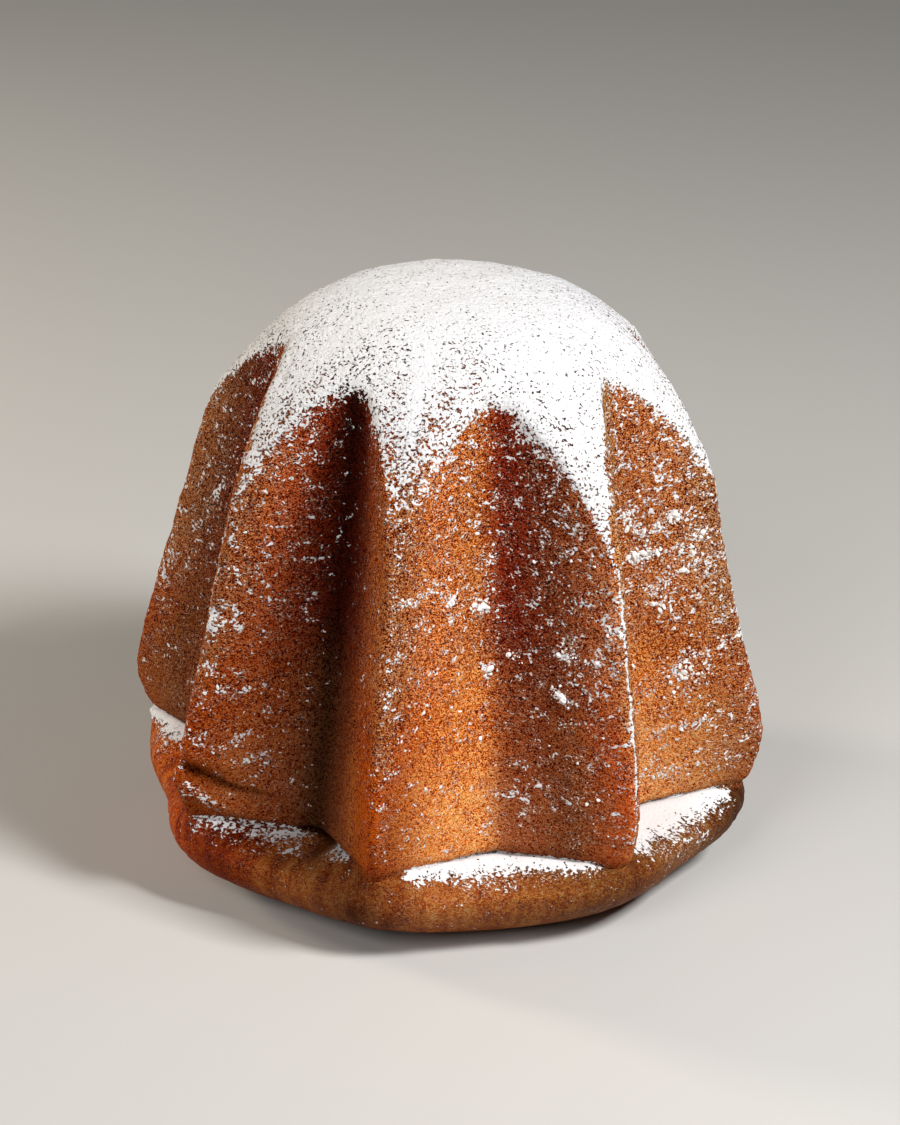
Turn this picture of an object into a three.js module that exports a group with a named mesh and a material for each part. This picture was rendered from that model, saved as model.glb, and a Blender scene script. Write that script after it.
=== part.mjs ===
// Pandoro: a tall sweet loaf baked in an eight-pointed star mould, turned out so
// that it stands on its wide end. Millimetres, +Z up, with the origin at the
// middle of the flat underside. A bearing is an angle round +Z, measured from
// the front of the loaf (-Y) toward +X.
//
// The whole skin is one surface. Every bearing has a profile that runs from the
// middle of the crown, over the shoulder, down the fluted wall to the crease,
// out over the lip that rose past the mould, and under it to the flat base.

import * as THREE from "three";

const degrees = (value) => (value * Math.PI) / 180;
const FULL_TURN = 2 * Math.PI;

// ---------------------------------------------------------------- dimensions

const RIDGE_COUNT = 8;
const PITCH = FULL_TURN / RIDGE_COUNT;

// Bearing of the ridge nearest the front, which is the third of the list below.
const FRONT_RIDGE_BEARING = degrees(-11.5);
const FRONT_RIDGE_INDEX = 2;

// The loaf is uneven: how far each ridge stands off its even bearing, and its
// reach at the shoulder as a share of the even one. The first is the left one.
const RIDGE_TURN = [1.4, 3.2, -0.3, 1.8, -0.1, -1.5, 1.5, -1.0].map(degrees);
const SHOULDER_SHARE = [0.935, 0.948, 1.0, 1.0, 0.948, 0.98, 1.0, 0.965];

// The fluted wall, from its foot up: how far out a ridge and a valley reach.
const WALL_STATIONS = [
  { height: 20, ridge: 99.0, valley: 79.0 },
  { height: 32, ridge: 106.5, valley: 78.4 },
  { height: 51, ridge: 110.0, valley: 76.0 },
  { height: 100, ridge: 99.7, valley: 68.5 },
  { height: 157, ridge: 88.3, valley: 61.2 },
  { height: 205, ridge: 78.6, valley: 55.0 },
];
const BELLY_HEIGHT = 51;
const SHOULDER_HEIGHT = 157;
const RIDGE_FILLET = 3;
const VALLEY_FILLET = 12;

// The crown is a dome that falls away ever faster toward the shoulder.
const CROWN = { height: 198.4, drop: 49.4, dropReach: 85, power: 3 };
const SHOULDER_CUT = 5;

// The crease between the wall and the lip, deep in the valleys. It stands at its
// own height under each ridge, and in the valley that follows each one.
const CREASE = { valleyDepth: 3.6, ridgeDepth: 0.8, width: 3.5 };
const RIDGE_CREASE = [33.5, 32.2, 31.2, 27.5, 28, 29, 30.5, 31.5];
const VALLEY_CREASE = [31, 27.2, 26.2, 26.2, 27, 27.5, 28, 29];

// The lip that rose out of the mould, its reach under each ridge, and the flat
// face it was left standing on.
const LIP = { height: 21.5, valleyReach: 99, evenReach: 101.2, clearance: 1.2 };
const RIDGE_LIP = [105.8, 106, 106.3, 104, 105.2, 106, 106.3, 105.6];
const LIP_ROUND = { topPower: 1.85, underPower: 1.9 };
const BASE_RADIUS = 68.5;

// The extra fold at the foot of the second ridge: a groove that falls away from
// the ridge across its right-hand face, with a soft bulge under it.
const FOLD = {
  from: degrees(-56.5),
  to: degrees(-42.5),
  fade: degrees(4),
  heightAtStart: 56,
  heightAtEnd: 44,
  grooveDepth: 1.7,
  grooveWidth: 3,
  bulge: 1.1,
  bulgeBelow: 7,
  bulgeWidth: 5,
};

// Slow waves that keep the loaf from being even: size, turns round the loaf,
// turns over the height, and where each starts.
const SWAYS = [
  { size: 0.7, round: 2, up: 0.6, start: 0.4 },
  { size: 0.5, round: 3, up: -1.1, start: 2.1 },
  { size: 0.4, round: 5, up: 1.7, start: 4.0 },
];

// ---------------------------------------------------------------- mesh steps

// Columns between a ridge and the valley beside it, as shares of that half:
// close together round the ridge, and again in the bottom of the valley.
const HALF_COLUMNS = [0, 0.06, 0.28, 0.5, 0.72, 0.86];

const CROWN_ROWS = 8;
const SHOULDER_ROWS = 3;
const UPPER_WALL_ROWS = 11;
const LOWER_WALL_TOP = 62;
const LOWER_WALL_ROWS = 9;
const LIP_TOP_ROWS = 6;
const LIP_UNDER_ROWS = 8;
const BASE_ROWS = 2;

// ------------------------------------------------------------ small functions

const mix = (from, to, share) => from + (to - from) * share;

const clampShare = (value) => Math.min(Math.max(value, 0), 1);

function smoothStep(value) {
  const share = clampShare(value);
  return share * share * (3 - 2 * share);
}

// A smooth curve through the stations of the wall, for one of their columns.
function stationValue(column, height) {
  const last = WALL_STATIONS.length - 1;
  const slope = (index) => {
    const below = WALL_STATIONS[Math.max(index - 1, 0)];
    const above = WALL_STATIONS[Math.min(index + 1, last)];
    return (above[column] - below[column]) / (above.height - below.height);
  };
  const upper = WALL_STATIONS.findIndex((station) => station.height > height);
  const index = upper < 0 ? last - 1 : Math.max(upper - 1, 0);
  const start = WALL_STATIONS[index];
  const end = WALL_STATIONS[index + 1];
  const span = end.height - start.height;
  const t = clampShare((height - start.height) / span);
  const t2 = t * t;
  const t3 = t2 * t;
  return (
    (2 * t3 - 3 * t2 + 1) * start[column] +
    (t3 - 2 * t2 + t) * span * slope(index) +
    (3 * t2 - 2 * t3) * end[column] +
    (t3 - t2) * span * slope(index + 1)
  );
}

// ------------------------------------------------------------------ the star

function ridgeBearing(index) {
  const evenBearing = FRONT_RIDGE_BEARING + (index - FRONT_RIDGE_INDEX) * PITCH;
  return evenBearing + RIDGE_TURN[index % RIDGE_COUNT];
}

// Each place round the loaf belongs to its nearest ridge, and lies at an offset
// from it within the half pitch that ends in the valley.
function placeRound(ridge, side, share) {
  const neighbour = ridge + side;
  const here = ridgeBearing(ridge);
  const wrapped = neighbour < 0 ? neighbour + RIDGE_COUNT : neighbour;
  const there = ridgeBearing(wrapped) + (neighbour < 0 ? -FULL_TURN : 0);
  const halfPitch = Math.abs(there - here) / 2;
  return {
    ridge,
    valley: side > 0 ? ridge : wrapped,
    halfPitch,
    offset: share * halfPitch,
    bearing: here + side * share * halfPitch,
    ridgeWeight: 0.5 + 0.5 * Math.cos(Math.PI * share),
  };
}

// Distance from the middle to one straight face of the star, with the ridge and
// the valley at its two ends rounded by arcs that touch it.
function starReach(offset, halfPitch, ridgeReach, valleyReach) {
  let sharpRidge = ridgeReach;
  let sharpValley = valleyReach;
  let normal = { x: 1, y: 0, alongValley: 1 };
  for (let pass = 0; pass < 3; pass += 1) {
    const edgeX = sharpValley * Math.cos(halfPitch) - sharpRidge;
    const edgeY = sharpValley * Math.sin(halfPitch);
    const length = Math.hypot(edgeX, edgeY);
    const x = edgeY / length;
    const y = -edgeX / length;
    normal = { x, y, alongValley: x * Math.cos(halfPitch) + y * Math.sin(halfPitch) };
    sharpRidge = ridgeReach + RIDGE_FILLET * (1 / normal.x - 1);
    sharpValley = valleyReach - VALLEY_FILLET * (1 / normal.alongValley - 1);
  }
  const faceDistance = normal.x * sharpRidge;
  const ridgeCentre = (faceDistance - RIDGE_FILLET) / normal.x;
  const ridgeEnd = Math.atan2(RIDGE_FILLET * normal.y, ridgeCentre + RIDGE_FILLET * normal.x);
  if (offset < ridgeEnd) {
    const side = ridgeCentre * Math.sin(offset);
    return ridgeCentre * Math.cos(offset) + Math.sqrt(RIDGE_FILLET ** 2 - side ** 2);
  }
  const valleyCentre = (faceDistance + VALLEY_FILLET) / normal.alongValley;
  const touchX = valleyCentre * Math.cos(halfPitch) - VALLEY_FILLET * normal.x;
  const touchY = valleyCentre * Math.sin(halfPitch) - VALLEY_FILLET * normal.y;
  if (offset > Math.atan2(touchY, touchX)) {
    const fromValley = halfPitch - offset;
    const side = valleyCentre * Math.sin(fromValley);
    return valleyCentre * Math.cos(fromValley) - Math.sqrt(VALLEY_FILLET ** 2 - side ** 2);
  }
  return faceDistance / (normal.x * Math.cos(offset) + normal.y * Math.sin(offset));
}

function sway(bearing, height) {
  let sum = 0;
  for (const { size, round, up, start } of SWAYS) {
    sum += size * Math.cos(round * bearing + (FULL_TURN * up * height) / CROWN.height + start);
  }
  return sum;
}

function foldShift(bearing, height) {
  const along = clampShare((bearing - FOLD.from) / (FOLD.to - FOLD.from));
  const strength =
    smoothStep((bearing - FOLD.from) / FOLD.fade) * smoothStep((FOLD.to - bearing) / FOLD.fade);
  const above = height - mix(FOLD.heightAtStart, FOLD.heightAtEnd, along);
  const groove = FOLD.grooveDepth * Math.exp(-((above / FOLD.grooveWidth) ** 2));
  const bulge = FOLD.bulge * Math.exp(-(((above + FOLD.bulgeBelow) / FOLD.bulgeWidth) ** 2));
  return strength * (bulge - groove);
}

function wallReach(place, height) {
  const shoulderShare = clampShare((height - BELLY_HEIGHT) / (SHOULDER_HEIGHT - BELLY_HEIGHT));
  const ridgeShare = mix(1, SHOULDER_SHARE[place.ridge], shoulderShare);
  const ridge = stationValue("ridge", height) * ridgeShare;
  const valley = stationValue("valley", height);
  const star = starReach(place.offset, place.halfPitch, ridge, valley);
  return star + sway(place.bearing, height) + foldShift(place.bearing, height);
}

// --------------------------------------------------------------- the profile

function crownHeight(reach) {
  return CROWN.height - CROWN.drop * (reach / CROWN.dropReach) ** CROWN.power;
}

// Where the crown would meet the wall in a sharp edge.
function shoulderPoint(place) {
  const passes = 20;
  let height = SHOULDER_HEIGHT;
  for (let pass = 0; pass < passes; pass += 1) {
    height = mix(height, crownHeight(wallReach(place, height)), 0.5);
  }
  return { reach: wallReach(place, height), height };
}

function crownRows(shoulder) {
  const rim = shoulder.reach - SHOULDER_CUT;
  const rows = [];
  for (let row = 1; row <= CROWN_ROWS; row += 1) {
    const reach = rim * (row / CROWN_ROWS) ** 0.8;
    rows.push([reach, crownHeight(reach)]);
  }
  return rows;
}

// The shoulder's edge, rounded by a curve from the crown to the wall.
function shoulderRows(place, shoulder) {
  const start = [shoulder.reach - SHOULDER_CUT, crownHeight(shoulder.reach - SHOULDER_CUT)];
  const endHeight = shoulder.height - SHOULDER_CUT;
  const end = [wallReach(place, endHeight), endHeight];
  const rows = [];
  for (let row = 1; row <= SHOULDER_ROWS; row += 1) {
    const t = row / SHOULDER_ROWS;
    const reach = mix(mix(start[0], shoulder.reach, t), mix(shoulder.reach, end[0], t), t);
    const height = mix(mix(start[1], shoulder.height, t), mix(shoulder.height, end[1], t), t);
    rows.push([reach, height]);
  }
  return rows;
}

// The lip's own outline, nearly round: it swells only a little under each ridge.
function lipReach(place) {
  const evenReach = mix(LIP.valleyReach, RIDGE_LIP[place.ridge], place.ridgeWeight);
  return evenReach + sway(place.bearing, 0);
}

function creaseHeight(place) {
  return mix(VALLEY_CREASE[place.valley], RIDGE_CREASE[place.ridge], place.ridgeWeight);
}

// The wall draws in toward the crease, most of all in the valleys, and always
// enough to come down inside the lip.
function tuckedReach(place, height) {
  const overhang = wallReach(place, creaseHeight(place)) - lipReach(place) + LIP.clearance;
  const evenDepth = mix(CREASE.valleyDepth, CREASE.ridgeDepth, place.ridgeWeight);
  const depth = Math.max(evenDepth, overhang);
  const above = height - creaseHeight(place);
  return wallReach(place, height) - depth * Math.exp(-above / CREASE.width);
}

function wallRows(place, topHeight) {
  const rows = [];
  for (let row = 1; row <= UPPER_WALL_ROWS; row += 1) {
    const height = mix(topHeight, LOWER_WALL_TOP, row / UPPER_WALL_ROWS);
    rows.push([tuckedReach(place, height), height]);
  }
  for (let row = 1; row <= LOWER_WALL_ROWS; row += 1) {
    const height = mix(LOWER_WALL_TOP, creaseHeight(place), row / LOWER_WALL_ROWS);
    rows.push([tuckedReach(place, height), height]);
  }
  return rows;
}

// The two axes of a curve that is rounder or squarer than an ellipse.
function roundedTurn(angle, power) {
  return {
    across: clampShare(Math.cos(angle)) ** (2 / power),
    along: clampShare(Math.sin(angle)) ** (2 / power),
  };
}

function lipRows(place) {
  const footHeight = creaseHeight(place);
  const footReach = tuckedReach(place, footHeight);
  const outerReach = lipReach(place);
  const quarterTurn = Math.PI / 2;
  const rows = [];
  for (let row = 1; row <= LIP_TOP_ROWS; row += 1) {
    const turn = roundedTurn(quarterTurn * (1 - row / LIP_TOP_ROWS), LIP_ROUND.topPower);
    rows.push([mix(footReach, outerReach, turn.across), mix(LIP.height, footHeight, turn.along)]);
  }
  for (let row = 1; row <= LIP_UNDER_ROWS; row += 1) {
    const turn = roundedTurn(quarterTurn * (row / LIP_UNDER_ROWS), LIP_ROUND.underPower);
    const reach = mix(outerReach, LIP.evenReach, turn.along ** 2);
    rows.push([mix(BASE_RADIUS, reach, turn.across), LIP.height * (1 - turn.along)]);
  }
  return rows;
}

function baseRows() {
  const rows = [];
  for (let row = 1; row < BASE_ROWS; row += 1) {
    rows.push([BASE_RADIUS * (1 - row / BASE_ROWS), 0]);
  }
  return rows;
}

function loafProfile(place) {
  const shoulder = shoulderPoint(place);
  return [
    ...crownRows(shoulder),
    ...shoulderRows(place, shoulder),
    ...wallRows(place, shoulder.height - SHOULDER_CUT),
    ...lipRows(place),
    ...baseRows(),
  ];
}

// ------------------------------------------------------------------ the mesh

function placesRound() {
  const places = [];
  for (let ridge = 0; ridge < RIDGE_COUNT; ridge += 1) {
    for (const share of HALF_COLUMNS) {
      places.push(placeRound(ridge, 1, share));
    }
    const next = (ridge + 1) % RIDGE_COUNT;
    for (const share of [1, ...HALF_COLUMNS.slice(1).reverse()]) {
      places.push(placeRound(next, -1, share));
    }
  }
  return places;
}

function loafGeometry() {
  const columns = placesRound().map((place) => ({ place, profile: loafProfile(place) }));
  const rowCount = columns[0].profile.length;
  const positions = [0, 0, CROWN.height];
  for (const { place, profile } of columns) {
    for (const [reach, height] of profile) {
      positions.push(reach * Math.sin(place.bearing), -reach * Math.cos(place.bearing), height);
    }
  }
  positions.push(0, 0, 0);

  const crownCentre = 0;
  const baseCentre = positions.length / 3 - 1;
  const vertexAt = (column, row) => 1 + (column % columns.length) * rowCount + row;
  const triangles = [];
  for (let column = 0; column < columns.length; column += 1) {
    const next = column + 1;
    triangles.push(crownCentre, vertexAt(column, 0), vertexAt(next, 0));
    for (let row = 0; row < rowCount - 1; row += 1) {
      const a = vertexAt(column, row);
      const b = vertexAt(column, row + 1);
      const c = vertexAt(next, row + 1);
      const d = vertexAt(next, row);
      triangles.push(a, b, c, a, c, d);
    }
    triangles.push(baseCentre, vertexAt(next, rowCount - 1), vertexAt(column, rowCount - 1));
  }

  const geometry = new THREE.BufferGeometry();
  geometry.setAttribute("position", new THREE.Float32BufferAttribute(positions, 3));
  geometry.setIndex(triangles);
  return geometry;
}

// Moves the uneven loaf so that its box is centred on the vertical axis.
function centreOverOrigin(geometry) {
  geometry.computeBoundingBox();
  const middle = geometry.boundingBox.getCenter(new THREE.Vector3());
  geometry.translate(-middle.x, -middle.y, 0);
  geometry.computeVertexNormals();
  return geometry;
}

const crustMaterial = new THREE.MeshStandardMaterial({
  color: 0xb5702f,
  roughness: 0.72,
  metalness: 0,
});

const pandoro = new THREE.Mesh(centreOverOrigin(loafGeometry()), crustMaterial);
pandoro.name = "pandoro";

const loaf = new THREE.Group();
loaf.add(pandoro);

export default loaf;
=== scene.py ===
"""A pandoro: a tall sweet loaf from an eight-pointed star mould, dusted with powdered sugar.

The loaf stands upright on its wide end. The skin is worked out in millimetres, with bearings
measured round +Z from the front of the loaf (-Y) toward +X, and is then scaled to the frame.
"""

import logging
import math
from dataclasses import dataclass, field
from enum import Enum
from typing import Any

import bpy
import numpy as np
from mathutils import Matrix, Vector


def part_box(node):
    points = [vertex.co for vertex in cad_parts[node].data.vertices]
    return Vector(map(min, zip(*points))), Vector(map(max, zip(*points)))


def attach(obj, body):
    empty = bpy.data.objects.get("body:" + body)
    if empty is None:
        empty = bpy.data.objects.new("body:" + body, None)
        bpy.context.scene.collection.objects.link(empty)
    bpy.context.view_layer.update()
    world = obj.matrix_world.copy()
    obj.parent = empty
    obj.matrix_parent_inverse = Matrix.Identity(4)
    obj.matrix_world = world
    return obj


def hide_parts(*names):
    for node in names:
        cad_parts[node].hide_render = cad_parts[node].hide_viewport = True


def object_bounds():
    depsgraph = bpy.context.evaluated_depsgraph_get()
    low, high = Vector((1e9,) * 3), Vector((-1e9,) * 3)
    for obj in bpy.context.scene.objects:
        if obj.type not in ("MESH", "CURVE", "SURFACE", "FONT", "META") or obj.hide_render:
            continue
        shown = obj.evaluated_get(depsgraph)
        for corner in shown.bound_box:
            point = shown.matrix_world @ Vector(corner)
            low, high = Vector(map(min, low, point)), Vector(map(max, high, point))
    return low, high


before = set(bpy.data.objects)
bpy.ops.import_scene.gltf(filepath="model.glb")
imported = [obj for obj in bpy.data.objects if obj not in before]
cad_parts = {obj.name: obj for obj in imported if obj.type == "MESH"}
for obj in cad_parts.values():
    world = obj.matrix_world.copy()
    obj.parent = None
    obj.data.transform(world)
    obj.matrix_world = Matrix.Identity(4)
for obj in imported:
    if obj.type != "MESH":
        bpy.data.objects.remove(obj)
CAD_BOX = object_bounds()

LOG = logging.getLogger("pandoro")
BODY = "root"
NODE = "pandoro"
FULL_TURN = 2 * math.pi
QUARTER_TURN = math.pi / 2

Numbers = np.ndarray
Triple = tuple[float, float, float]
Colour = Triple


# ------------------------------------------------------------------ small maths


def mix(low: Any, high: Any, share: Any) -> Any:
    """Straight blend from low to high."""
    return low + (high - low) * share


def clamp_share(value: Any) -> Any:
    """Value held between 0 and 1."""
    return np.clip(value, 0.0, 1.0)


def smooth_step(value: Any) -> Any:
    """Smooth rise from 0 at 0 to 1 at 1."""
    share = clamp_share(value)
    return share * share * (3 - 2 * share)


def rise(value: Any, start: float, length: float) -> Any:
    """Smooth rise from 0 at start to 1 a length farther on."""
    return smooth_step((value - start) / length)


def hump(distance: Any, width: Any) -> Any:
    """Bell curve of height 1 that has fallen to about a third at width."""
    return np.exp(-((distance / width) ** 2))


def wrapped(value: Any, circle: float) -> Any:
    """Value brought within half a circle of 0."""
    return (value + circle / 2) % circle - circle / 2


def row_shares(count: int) -> Numbers:
    """Even steps up to 1, as one row."""
    return (np.arange(1, count + 1) / count)[None]


def rounded(share: Numbers, power: float) -> tuple[Numbers, Numbers]:
    """How far out and how far along a rounded quarter turn goes, where power 2 is a circle."""
    turn = QUARTER_TURN * share
    return clamp_share(np.cos(turn)) ** (2 / power), clamp_share(np.sin(turn)) ** (2 / power)


def linear(colour: Colour) -> tuple[float, float, float, float]:
    """A colour as a picture shows it, turned into the linear RGBA that shaders take."""
    values = [c / 12.92 if c <= 0.04045 else ((c + 0.055) / 1.055) ** 2.4 for c in colour]
    return (*values, 1.0)


# ------------------------------------------------------------ nodes and objects


@dataclass(frozen=True)
class Grain:
    """Sizes of one noise. Squeeze packs its lumps along Z, and strength multiplies it."""

    lumps_per_metre: float
    layers: float
    roughness: float
    squeeze: float = 1.0
    strength: float = 1.0


class Socket:
    """A node's output that takes part in Python expressions."""

    def __init__(self, builder: "NodeBuilder", source: bpy.types.NodeSocket) -> None:
        """Keeps the output and the builder that adds nodes after it."""
        self.builder = builder
        self.source = source

    def __add__(self, other: Any) -> "Socket":
        """Sum with a number or another socket."""
        return self.builder.math("ADD", self, other)

    def __radd__(self, other: Any) -> "Socket":
        """Sum with a number on the left."""
        return self.builder.math("ADD", other, self)

    def __sub__(self, other: Any) -> "Socket":
        """Difference from a number or another socket."""
        return self.builder.math("SUBTRACT", self, other)

    def __rsub__(self, other: Any) -> "Socket":
        """Difference of a number and this socket."""
        return self.builder.math("SUBTRACT", other, self)

    def __mul__(self, other: Any) -> "Socket":
        """Product with a number or another socket."""
        return self.builder.math("MULTIPLY", self, other)

    def size(self) -> "Socket":
        """The value without its sign."""
        return self.builder.math("ABSOLUTE", self, 0.0)

    def between(self, low: float, high: float) -> "Socket":
        """Smooth rise from 0 at low to 1 at high."""
        sockets = {"Value": self, "From Min": low, "From Max": high}
        settings = {"interpolation_type": "SMOOTHSTEP"}
        return self.builder.out("ShaderNodeMapRange", settings, sockets, "Result")


class NodeBuilder:
    """Adds nodes to one shader or geometry tree."""

    def __init__(self, tree: bpy.types.NodeTree) -> None:
        """Keeps the tree that the nodes go into."""
        self.tree = tree

    def node(self, kind: str, settings: dict[str, Any], sockets: dict[Any, Any]) -> bpy.types.Node:
        """Adds a node, sets it up, and fills or links its inputs.

        Args:
            kind: the node's type name.
            settings: the node's own properties, with "stops" for a colour ramp's stops.
            sockets: input name or number to a value or a Socket.

        Returns:
            The new node.
        """
        made = self.tree.nodes.new(kind)
        for name, value in settings.items():
            if name == "stops":
                self.set_stops(made.color_ramp, value)
            else:
                setattr(made, name, value)
        for name, value in sockets.items():
            if isinstance(value, Socket):
                self.tree.links.new(value.source, made.inputs[name])
            else:
                made.inputs[name].default_value = value
        return made

    def set_stops(self, ramp: bpy.types.ColorRamp, stops: list[tuple[float, Colour]]) -> None:
        """Gives a colour ramp its stops.

        Args:
            ramp: the ramp to set.
            stops: place and display colour of each stop, in order.
        """
        while len(ramp.elements) < len(stops):
            ramp.elements.new(1.0)
        for element, (place, colour) in zip(ramp.elements, stops):
            element.position = place
            element.color = linear(colour)

    def out(self, kind: str, settings: dict[str, Any], sockets: dict[Any, Any], name: Any) -> Socket:
        """Adds a node as node() does, and gives the output of that name or number."""
        return Socket(self, self.node(kind, settings, sockets).outputs[name])

    def math(self, operation: str, first: Any, second: Any) -> Socket:
        """A Math node on two values."""
        return self.out("ShaderNodeMath", {"operation": operation}, {0: first, 1: second}, 0)

    def times(self, vector: Socket, factor: Any) -> Socket:
        """A colour or vector multiplied by one number."""
        settings = {"operation": "SCALE"}
        return self.out("ShaderNodeVectorMath", settings, {0: vector, "Scale": factor}, 0)

    def blend(self, share: Any, first: Any, second: Any, mode: str = "MIX") -> Socket:
        """Blend of a share of the second colour into the first, by one of the Mix node's modes."""
        settings = {"data_type": "RGBA", "blend_type": mode}
        return self.out("ShaderNodeMix", settings, {0: share, 6: first, 7: second}, 2)

    def noise(self, vector: Socket, grain: Grain) -> Socket:
        """Noise round 0.5 over a vector, not yet multiplied by its strength.

        Args:
            vector: where the noise is read.
            grain: the noise's sizes.

        Returns:
            The noise value.
        """
        if grain.squeeze != 1.0:
            stretch = {0: vector, 1: (1.0, 1.0, grain.squeeze)}
            vector = self.out("ShaderNodeVectorMath", {"operation": "MULTIPLY"}, stretch, 0)
        sockets = {"Vector": vector, "Scale": grain.lumps_per_metre}
        sockets |= {"Detail": grain.layers, "Roughness": grain.roughness}
        return self.out("ShaderNodeTexNoise", {}, sockets, 0)

    def ripple(self, vector: Socket, grain: Grain) -> Socket:
        """Noise round 0 over a vector, multiplied by its strength."""
        even = self.noise(vector, grain) - 0.5
        return even if grain.strength == 1.0 else even * grain.strength

    def stored(self, name: str) -> Socket:
        """A field of the skin, for a geometry tree."""
        return self.out("GeometryNodeInputNamedAttribute", {"data_type": "FLOAT"}, {"Name": name}, 0)

    def pushed(self, geometry: Socket, amount: Socket) -> Socket:
        """A geometry whose points are moved outward by an amount."""
        normal = self.out("GeometryNodeInputNormal", {}, {}, 0)
        sockets = {"Geometry": geometry, "Offset": self.times(normal, amount)}
        return self.out("GeometryNodeSetPosition", {}, sockets, 0)

    def finish(self, geometry: Socket, material: Socket) -> None:
        """Ends a geometry tree with real geometry in one material."""
        realized = self.out("GeometryNodeRealizeInstances", {}, {"Geometry": geometry}, 0)
        sockets = {"Geometry": realized, "Material": material}
        dressed = self.out("GeometryNodeSetMaterial", {}, sockets, 0)
        self.node("NodeGroupOutput", {}, {0: dressed})


def geometry_tree(name: str, inputs: dict[str, str]) -> tuple[bpy.types.NodeTree, NodeBuilder, list[Socket]]:
    """Starts a geometry tree with a geometry and named inputs.

    Args:
        name: the tree's name.
        inputs: name and kind of each input after the geometry.

    Returns:
        The tree, its builder, and the sockets of the geometry and the inputs.
    """
    tree = bpy.data.node_groups.new(name, "GeometryNodeTree")
    for label, kind in {"Geometry": "Geometry", **inputs}.items():
        tree.interface.new_socket(label, in_out="INPUT", socket_type="NodeSocket" + kind)
    tree.interface.new_socket("Geometry", in_out="OUTPUT", socket_type="NodeSocketGeometry")
    nodes = NodeBuilder(tree)
    group = nodes.node("NodeGroupInput", {}, {})
    return tree, nodes, [Socket(nodes, group.outputs[n]) for n in range(len(inputs) + 1)]


def apply_nodes(piece: bpy.types.Object, tree: bpy.types.NodeTree, inputs: dict[str, Any]) -> None:
    """Runs a geometry tree on a piece and keeps the result as its plain mesh.

    Args:
        piece: the object whose mesh the tree reads.
        tree: the geometry tree.
        inputs: the tree's named inputs.
    """
    modifier = piece.modifiers.new(tree.name, "NODES")
    modifier.node_group = tree
    for item in tree.interface.items_tree:
        if item.in_out == "INPUT" and item.name in inputs:
            modifier[item.identifier] = inputs[item.name]
    evaluated = piece.evaluated_get(bpy.context.evaluated_depsgraph_get())
    finished = bpy.data.meshes.new_from_object(evaluated)
    piece.modifiers.remove(modifier)
    finished.name = piece.name
    piece.data = finished


def add_object(name: str, data: bpy.types.ID) -> bpy.types.Object:
    """An object with its data, put into the scene."""
    made = bpy.data.objects.new(name, data)
    bpy.context.scene.collection.objects.link(made)
    return made


# --------------------------------------------------------------- the loaf's form


class Side(Enum):
    """The two faces beside a ridge, as seen from in front of it."""

    LEFT = -1
    RIGHT = 1


@dataclass(frozen=True)
class Station:
    """How far out the fluted wall reaches at one height, in millimetres."""

    height: float
    ridge: float
    valley: float


@dataclass(frozen=True)
class Places:
    """Where columns of the skin stand round the loaf, one entry for each column."""

    ridge: Numbers
    side: Numbers
    valley: Numbers
    share: Numbers
    half_pitch: Numbers
    bearing: Numbers
    ridge_weight: Numbers


@dataclass(frozen=True)
class Sway:
    """A slow wave over the loaf: its size, its turns around and up, and where it starts."""

    size: float
    around: float
    up: float
    start: float


@dataclass(frozen=True)
class Fold:
    """A groove over a soft bulge, both sloping down across the wall."""

    from_deg: float = -56.5
    to_deg: float = -42.5
    fade_deg: float = 4.0
    from_height: float = 56.0
    to_height: float = 44.0
    groove_depth: float = 1.7
    groove_width: float = 3.0
    bulge_below: float = 7.0
    bulge_height: float = 1.1
    bulge_width: float = 5.0


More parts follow.
